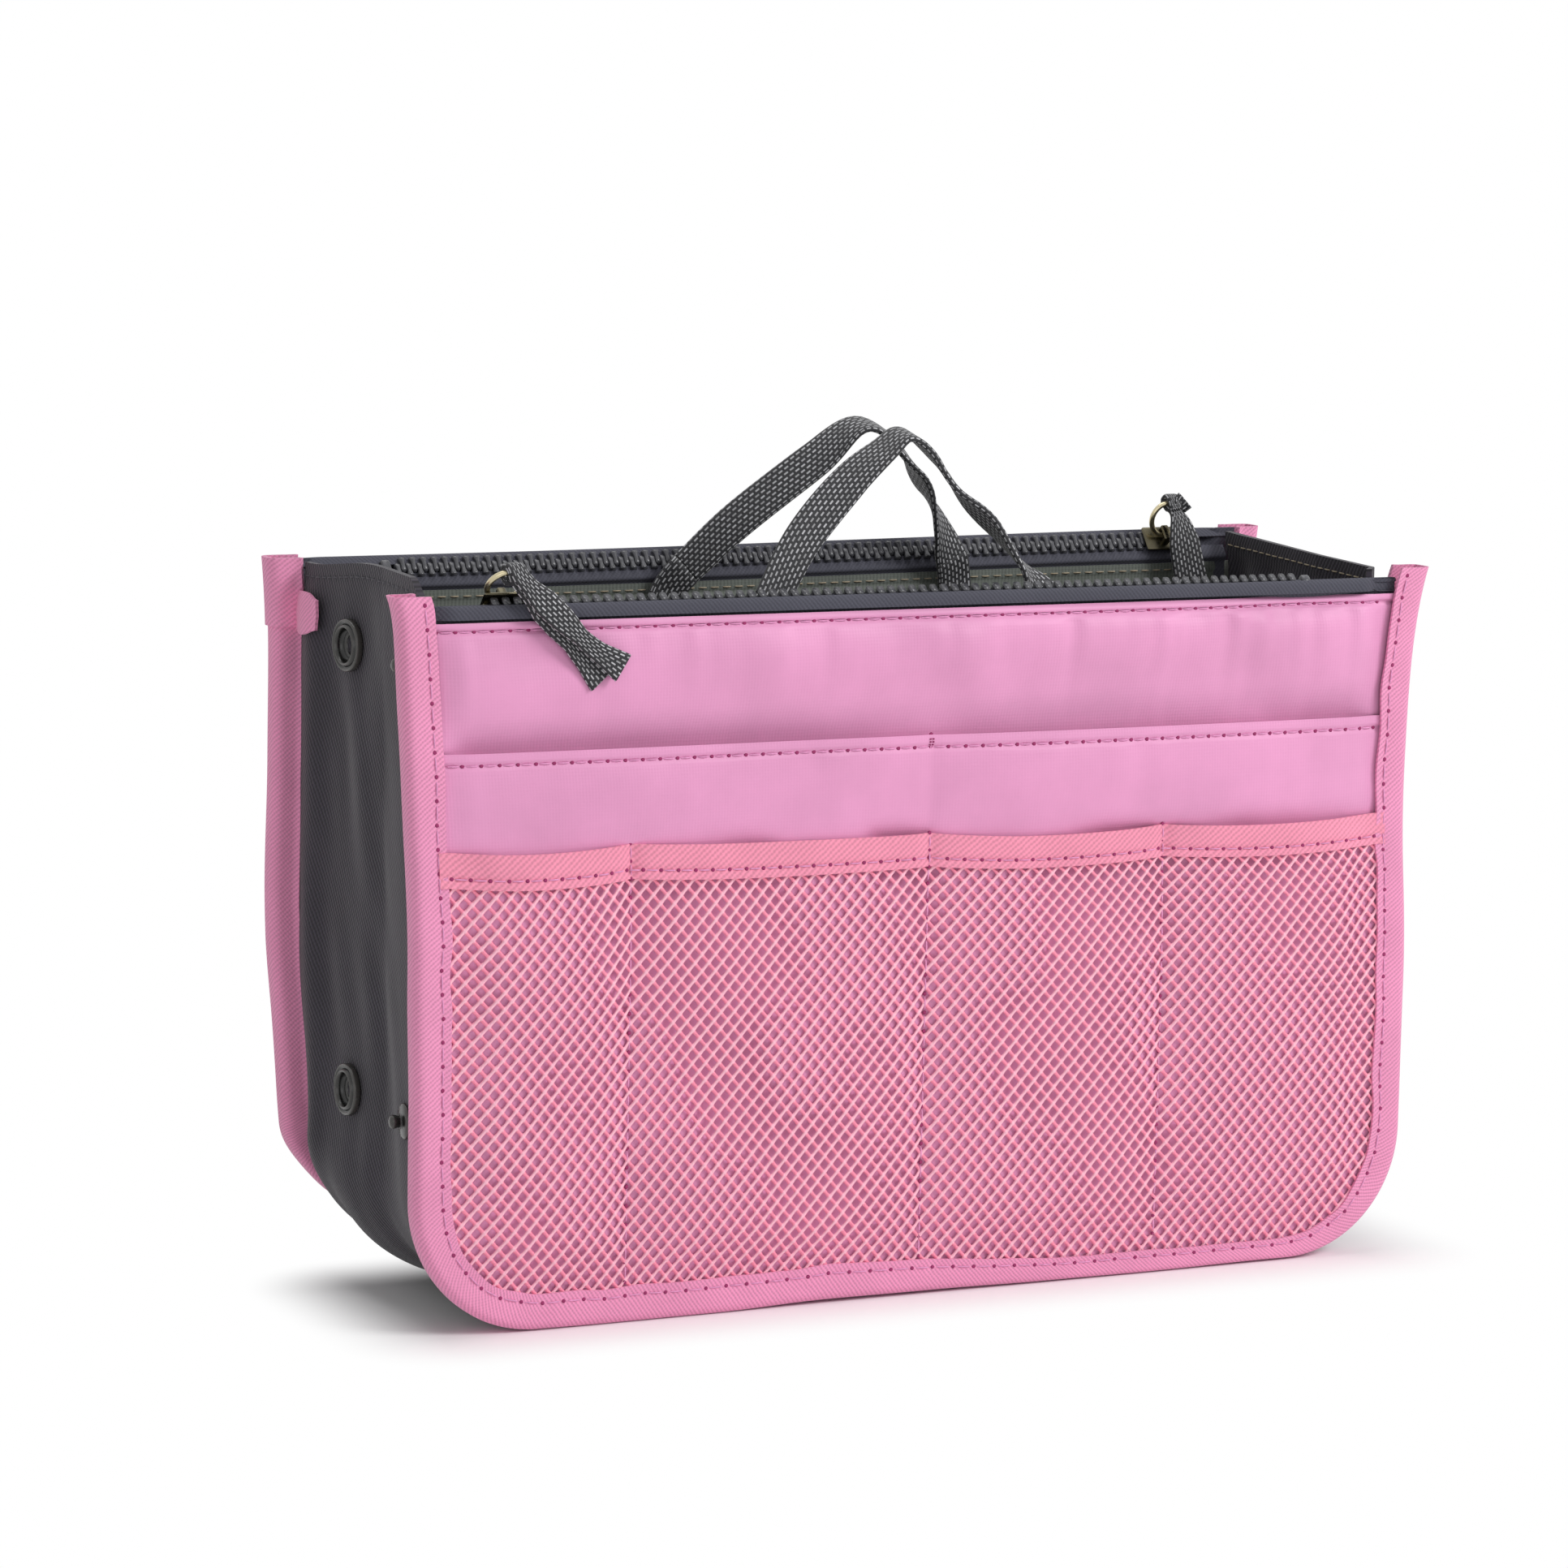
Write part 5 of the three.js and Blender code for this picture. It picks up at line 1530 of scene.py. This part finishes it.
class ORGANIZER_OT_handles(bpy.types.Operator):
    """Adds the webbing handles and their sewn ends"""

    bl_idname = "organizer.handles"
    bl_label = "Handles"

    # Turn of the webbing about its own length, in degrees, at shares of the way along it
    TWISTS = {
        "front": ([0, 0.2, 0.3, 0.38, 0.44, 0.5, 0.58, 0.66, 0.77, 0.88, 0.95, 1],
                  [0, 20, 36, 54, 70, 78, 85, 64, 104, 76, 66, 0]),
        "back": ([0, 0.05, 0.14, 0.22, 0.3, 0.42, 0.5, 0.54, 0.62, 0.8, 1],
                 [0, -30, -62, -100, -64, -80, -70, -50, -28, -20, 0]),
    }

    def execute(self, context):
        width, thickness = sizes().webbing_width / MM, sizes().webbing_thickness / MM
        for side in SIDES:
            line, run = resampled(smooth_path(LOOPS[side], 400), 160)
            along = unit(np.gradient(line, axis=0))
            level = unit(np.cross(along, [0.0, -1.0, 0.0]))
            thin = np.cross(along, level)
            turn = np.pad(np.interp(run / run[-1], *self.TWISTS[side]), 6, mode="edge")
            turn = np.radians(np.convolve(turn, np.ones(13) / 13, mode="valid"))
            wide = level * np.cos(turn)[:, None] + thin * np.sin(turn)[:, None]
            strap = strap_object(f"{side}_handle_webbing", line, wide, width, thickness, side)
            dress(strap, None, "woven_webbing", "webbing", f"{side}_handle")
            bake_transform(strap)
            for end, foot, leg in (("left", line[0], along[0]), ("right", line[-1], along[-1])):
                curve, _ = resampled(smooth_path([*SEWN_END, foot[1:]], 80), 36)
                down = np.maximum(foot[2] - curve[:, 1], 0.0)
                shift = -leg[0] / leg[2] * TAB_LEAN * (1 - np.exp(-down / TAB_LEAN))
                path = np.column_stack([foot[0] + shift, curve])
                # Below the zip the sewn end is pressed into the lining
                path[:, 1] -= 0.8 * ease((168.0 - path[:, 2]) / 4.0)
                across = unit(np.cross(unit(np.gradient(path, axis=0)), [0.0, -1.0, 0.0]))
                tab = strap_object(f"{side}_handle_{end}_tab", path, across, width, thickness, side)
                dress(tab, f"{side}_wing", "woven_webbing", "webbing", f"{side}_handle_{end}_end")
        return {"FINISHED"}


class ORGANIZER_OT_gusset(bpy.types.Operator):
    """Adds the twill gusset between the wings, bent or cut at its folds"""

    bl_idname = "organizer.gusset"
    bl_label = "Gusset"

    def execute(self, context):
        for part, (place, ys, bodies, fold, solids) in GUSSET_PARTS.items():
            runs = GUSSET_RUNS[place]
            steps = (int((runs[1] - runs[0]) / 2.2), int((ys[1] - ys[0]) / 1.15))
            piece = gusset_piece(f"{part}_twill", runs, ys, steps)
            dress(piece, None, "polyester_twill", "grey_twill", *solids)
            bend(piece, bodies, fold)
        for place in ("left", "right"):
            runs = GUSSET_RUNS[f"{place}_corner"]
            corner = gusset_piece(f"{place}_corner_twill", runs, (-SEAM_Y, SEAM_Y), (34, 64))
            dress(corner, "front_wing", "polyester_twill", "grey_twill", f"{place}_corner", "rear_band")
            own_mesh(corner)
        return {"FINISHED"}


def bend(piece, bodies, fold):
    """Bakes a piece of the gusset's placement into its mesh; bodies and fold are not used."""
    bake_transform(piece)


class ORGANIZER_OT_snaps(bpy.types.Operator):
    """Adds the press studs and sockets on the gusset's sides"""

    bl_idname = "organizer.snaps"
    bl_label = "Snaps"

    # Radius and depth along each profile, from the rivet behind the twill to the middle of the face
    SOCKET = [
        (4.4, -1.8), (4.4, -1.3), (3.0, -1.2), (3.0, 0.2), (6.1, 0.25), (6.5, 0.7), (6.4, 1.9),
        (6.1, 2.25), (5.7, 2.1), (5.4, 1.5), (5.15, 1.7), (4.9, 2.4), (4.6, 2.65), (4.3, 2.45),
        (4.1, 1.5), (3.9, 0.7), (3.4, 0.45), (2.6, 0.4), (2.35, 0.2), (2.3, -0.5), (2.0, -0.6)]
    STUD = [
        (3.8, -1.8), (3.8, -1.3), (2.0, -1.2), (2.0, 0.2), (4.3, 0.25), (4.45, 0.5), (4.2, 0.85),
        (3.6, 1.15), (2.2, 1.2), (1.5, 1.35), (1.35, 1.8), (1.6, 2.6), (1.7, 3.1), (1.6, 3.6),
        (1.2, 4.05), (0.5, 4.25)]

    def execute(self, context):
        for place, way in (("left", -1.0), ("right", 1.0)):
            for level, height in SNAP_HEIGHTS.items():
                for part, profile, y, body in (
                        ("socket", self.SOCKET, SOCKET_Y, "middle"), ("stud", self.STUD, STUD_Y, "front")):
                    piece = self.turned(f"{place}_{level}_{part}_cap", profile, way, y, height)
                    dress(piece, f"{place}_{body}", "acetal_press_stud", "snap_plastic",
                          f"{place}_{level}_{part}")
        return {"FINISHED"}

    @staticmethod
    def turned(name, profile, way, y, height):
        """A profile of radius and depth turned round the snap's own axis, which stands out of the gusset."""
        curve = np.array(profile)
        turn = np.arange(40) / 40 * math.tau
        run = GUSSET_TOP - height if way < 0 else GUSSET_LENGTH - (GUSSET_TOP - height)
        point, out, along, _ = gusset_frame(run, y)
        aside = np.cross(out, along)
        spoke = along * np.cos(turn)[:, None] + aside * np.sin(turn)[:, None]
        rings = point + out * curve[:, None, 1:] + spoke[None] * curve[:, None, :1]
        return tube_object(name, rings)


class ORGANIZER_OT_sewing(bpy.types.Operator):
    """Adds the stitches that hold the cloth and tape"""

    bl_idname = "organizer.sewing"
    bl_label = "Stitches"

    def execute(self, context):
        for side in SIDES:
            body = f"{side}_wing"
            for place, rows, pitch in (
                    ("cloth", self.cloth_rows(side), sizes().stitch / MM),
                    ("tape", self.tape_row(side), TAPE_PITCH)):
                thread = stitches(f"{side}_{place}_stitches", rows, pitch, 0.3)
                dress(thread, body, "pink_spun_thread", "pink_nylon")
                # Painted shade: the dents are drawn dark, standing for the shade in the needle holes
                dents = needle_holes(f"{side}_{place}_needle_dents", rows, pitch, 0.6)
                dress(dents, body, "rose_needle_dents", "pink_nylon")
            tack = stitches(f"{side}_bar_tack", self.tack_rows(side), 1.4, 0.1)
            dress(tack, body, "rose_needle_dents", "pink_nylon")
            across = np.linspace(-LINING_ROW_HALF, LINING_ROW_HALF, 300)
            inner = [wing_row(side, lining_out, across, LINING_TOP - LINING_ROW, -0.1, inward=True)]
            thread = stitches(f"{side}_lining_stitches", inner, FINE_PITCH, FINE_GAP)
            dress(thread, body, "beige_spun_thread", "grey_lining")
        for part, (place, ys, bodies, fold, _) in GUSSET_PARTS.items():
            if place == "bottom":
                continue
            end = 0.0 if place == "left" else GUSSET_LENGTH
            span = (max(ys[0], 1 - SEAM_Y), min(ys[1], SEAM_Y - 1))
            for name, finish, inward in (
                    ("stitches", "grey_spun_thread", False), ("bobbin", "beige_spun_thread", True)):
                rows = [gusset_row(abs(end - GUSSET_ROW), span, inward)]
                piece = stitches(f"{part}_hem_{name}", rows, FINE_PITCH, FINE_GAP)
                dress(piece, None, finish, "grey_twill")
                bend(piece, bodies, fold)
        return {"FINISHED"}

    @staticmethod
    def cloth_rows(side):
        """Rows of sewing on a wing's outside: under the zip, on the slip pocket, the hem and the seams."""
        across = np.linspace(LIP - HALF + 0.5, HALF - LIP - 0.5, 300)
        rows = [
            wing_row(side, panel_out, across, PANEL_TOP - PANEL_ROW, 0.2),
            wing_row(side, slip_out, across, SLIP_TOP - SLIP_ROW, 0.2),
            wing_row(side, hem_out, across, HEM_LOW + HEM_ROW, 0.15, drop=hem_drop),
            wing_row(side, slip_out, 0.0, np.linspace(HEM_TOP, SLIP_TOP, 30), 0.15),
        ]
        for seam in SEAMS[side]:
            rows.append(wing_row(side, lower_out, seam, np.linspace(LIP + 1, HEM_LOW, 60), 0.25))
            rows.append(wing_row(side, hem_out, seam, np.linspace(HEM_LOW, HEM_TOP, 20), 0.15))
        return rows

    @staticmethod
    def tape_row(side):
        """The row along the binding, which strays with the tape."""
        run = np.linspace(2.0, OUTLINE_LENGTH - 2.0, 500)
        edge, way_in = outline(run)
        drift, wave = tape_drift(side, run, np.full(500, TAPE_STITCH))
        place = edge + way_in * (TAPE_STITCH + drift)[:, None]
        points = placed(np.stack([place[:, 0], TAPE_STITCH_OUT + wave, place[:, 1]], -1), side)
        return [(points, np.array([0.0, -SIDES[side], 0.0]))]

    @staticmethod
    def tack_rows(side):
        """Short level stitches one above another, where the middle seam ends at the slip pocket's mouth."""
        return [wing_row(side, slip_out, np.linspace(-0.7, 0.7, 8), z, 0.2)
                for z in np.arange(SLIP_TOP - 2.4, SLIP_TOP - 0.3, 0.7)]


class ORGANIZER_PT_panel(bpy.types.Panel):
    """Lists the pieces of the organizer"""

    bl_idname = "ORGANIZER_PT_panel"
    bl_label = "Organizer"
    bl_space_type = "VIEW_3D"
    bl_region_type = "UI"
    bl_category = "Organizer"

    def draw(self, context):
        for group in (context.scene.organizer_sizes, context.scene.organizer_colours):
            box = self.layout.box()
            for key in group.bl_rna.properties.keys():
                if key not in {"rna_type", "name"}:
                    box.prop(group, key)
        for step in STEPS:
            self.layout.operator(step.bl_idname)


STEPS = (
    ORGANIZER_OT_stage, ORGANIZER_OT_bindings, ORGANIZER_OT_nylon, ORGANIZER_OT_lower_pockets,
    ORGANIZER_OT_linings, ORGANIZER_OT_zips, ORGANIZER_OT_pulls, ORGANIZER_OT_handles,
    ORGANIZER_OT_gusset, ORGANIZER_OT_snaps, ORGANIZER_OT_sewing,
)
CLASSES = (OrganizerSizes, OrganizerColours, *STEPS, ORGANIZER_PT_panel)


def register():
    """Registers the classes and puts the sizes and colours on the scene."""
    for item in CLASSES:
        bpy.utils.register_class(item)
    bpy.types.Scene.organizer_sizes = bpy.props.PointerProperty(type=OrganizerSizes)
    bpy.types.Scene.organizer_colours = bpy.props.PointerProperty(type=OrganizerColours)


def unregister():
    """Takes the sizes, the colours and the classes away again."""
    del bpy.types.Scene.organizer_colours
    del bpy.types.Scene.organizer_sizes
    for item in reversed(CLASSES):
        bpy.utils.unregister_class(item)


def main():
    """Builds the organizer piece by piece."""
    register()
    bpy.ops.organizer.stage()
    bpy.ops.organizer.bindings()
    bpy.ops.organizer.nylon()
    bpy.ops.organizer.lower_pockets()
    bpy.ops.organizer.linings()
    bpy.ops.organizer.zips()
    bpy.ops.organizer.pulls()
    bpy.ops.organizer.handles()
    bpy.ops.organizer.gusset()
    bpy.ops.organizer.snaps()
    bpy.ops.organizer.sewing()


if __name__ == "__main__":
    main()
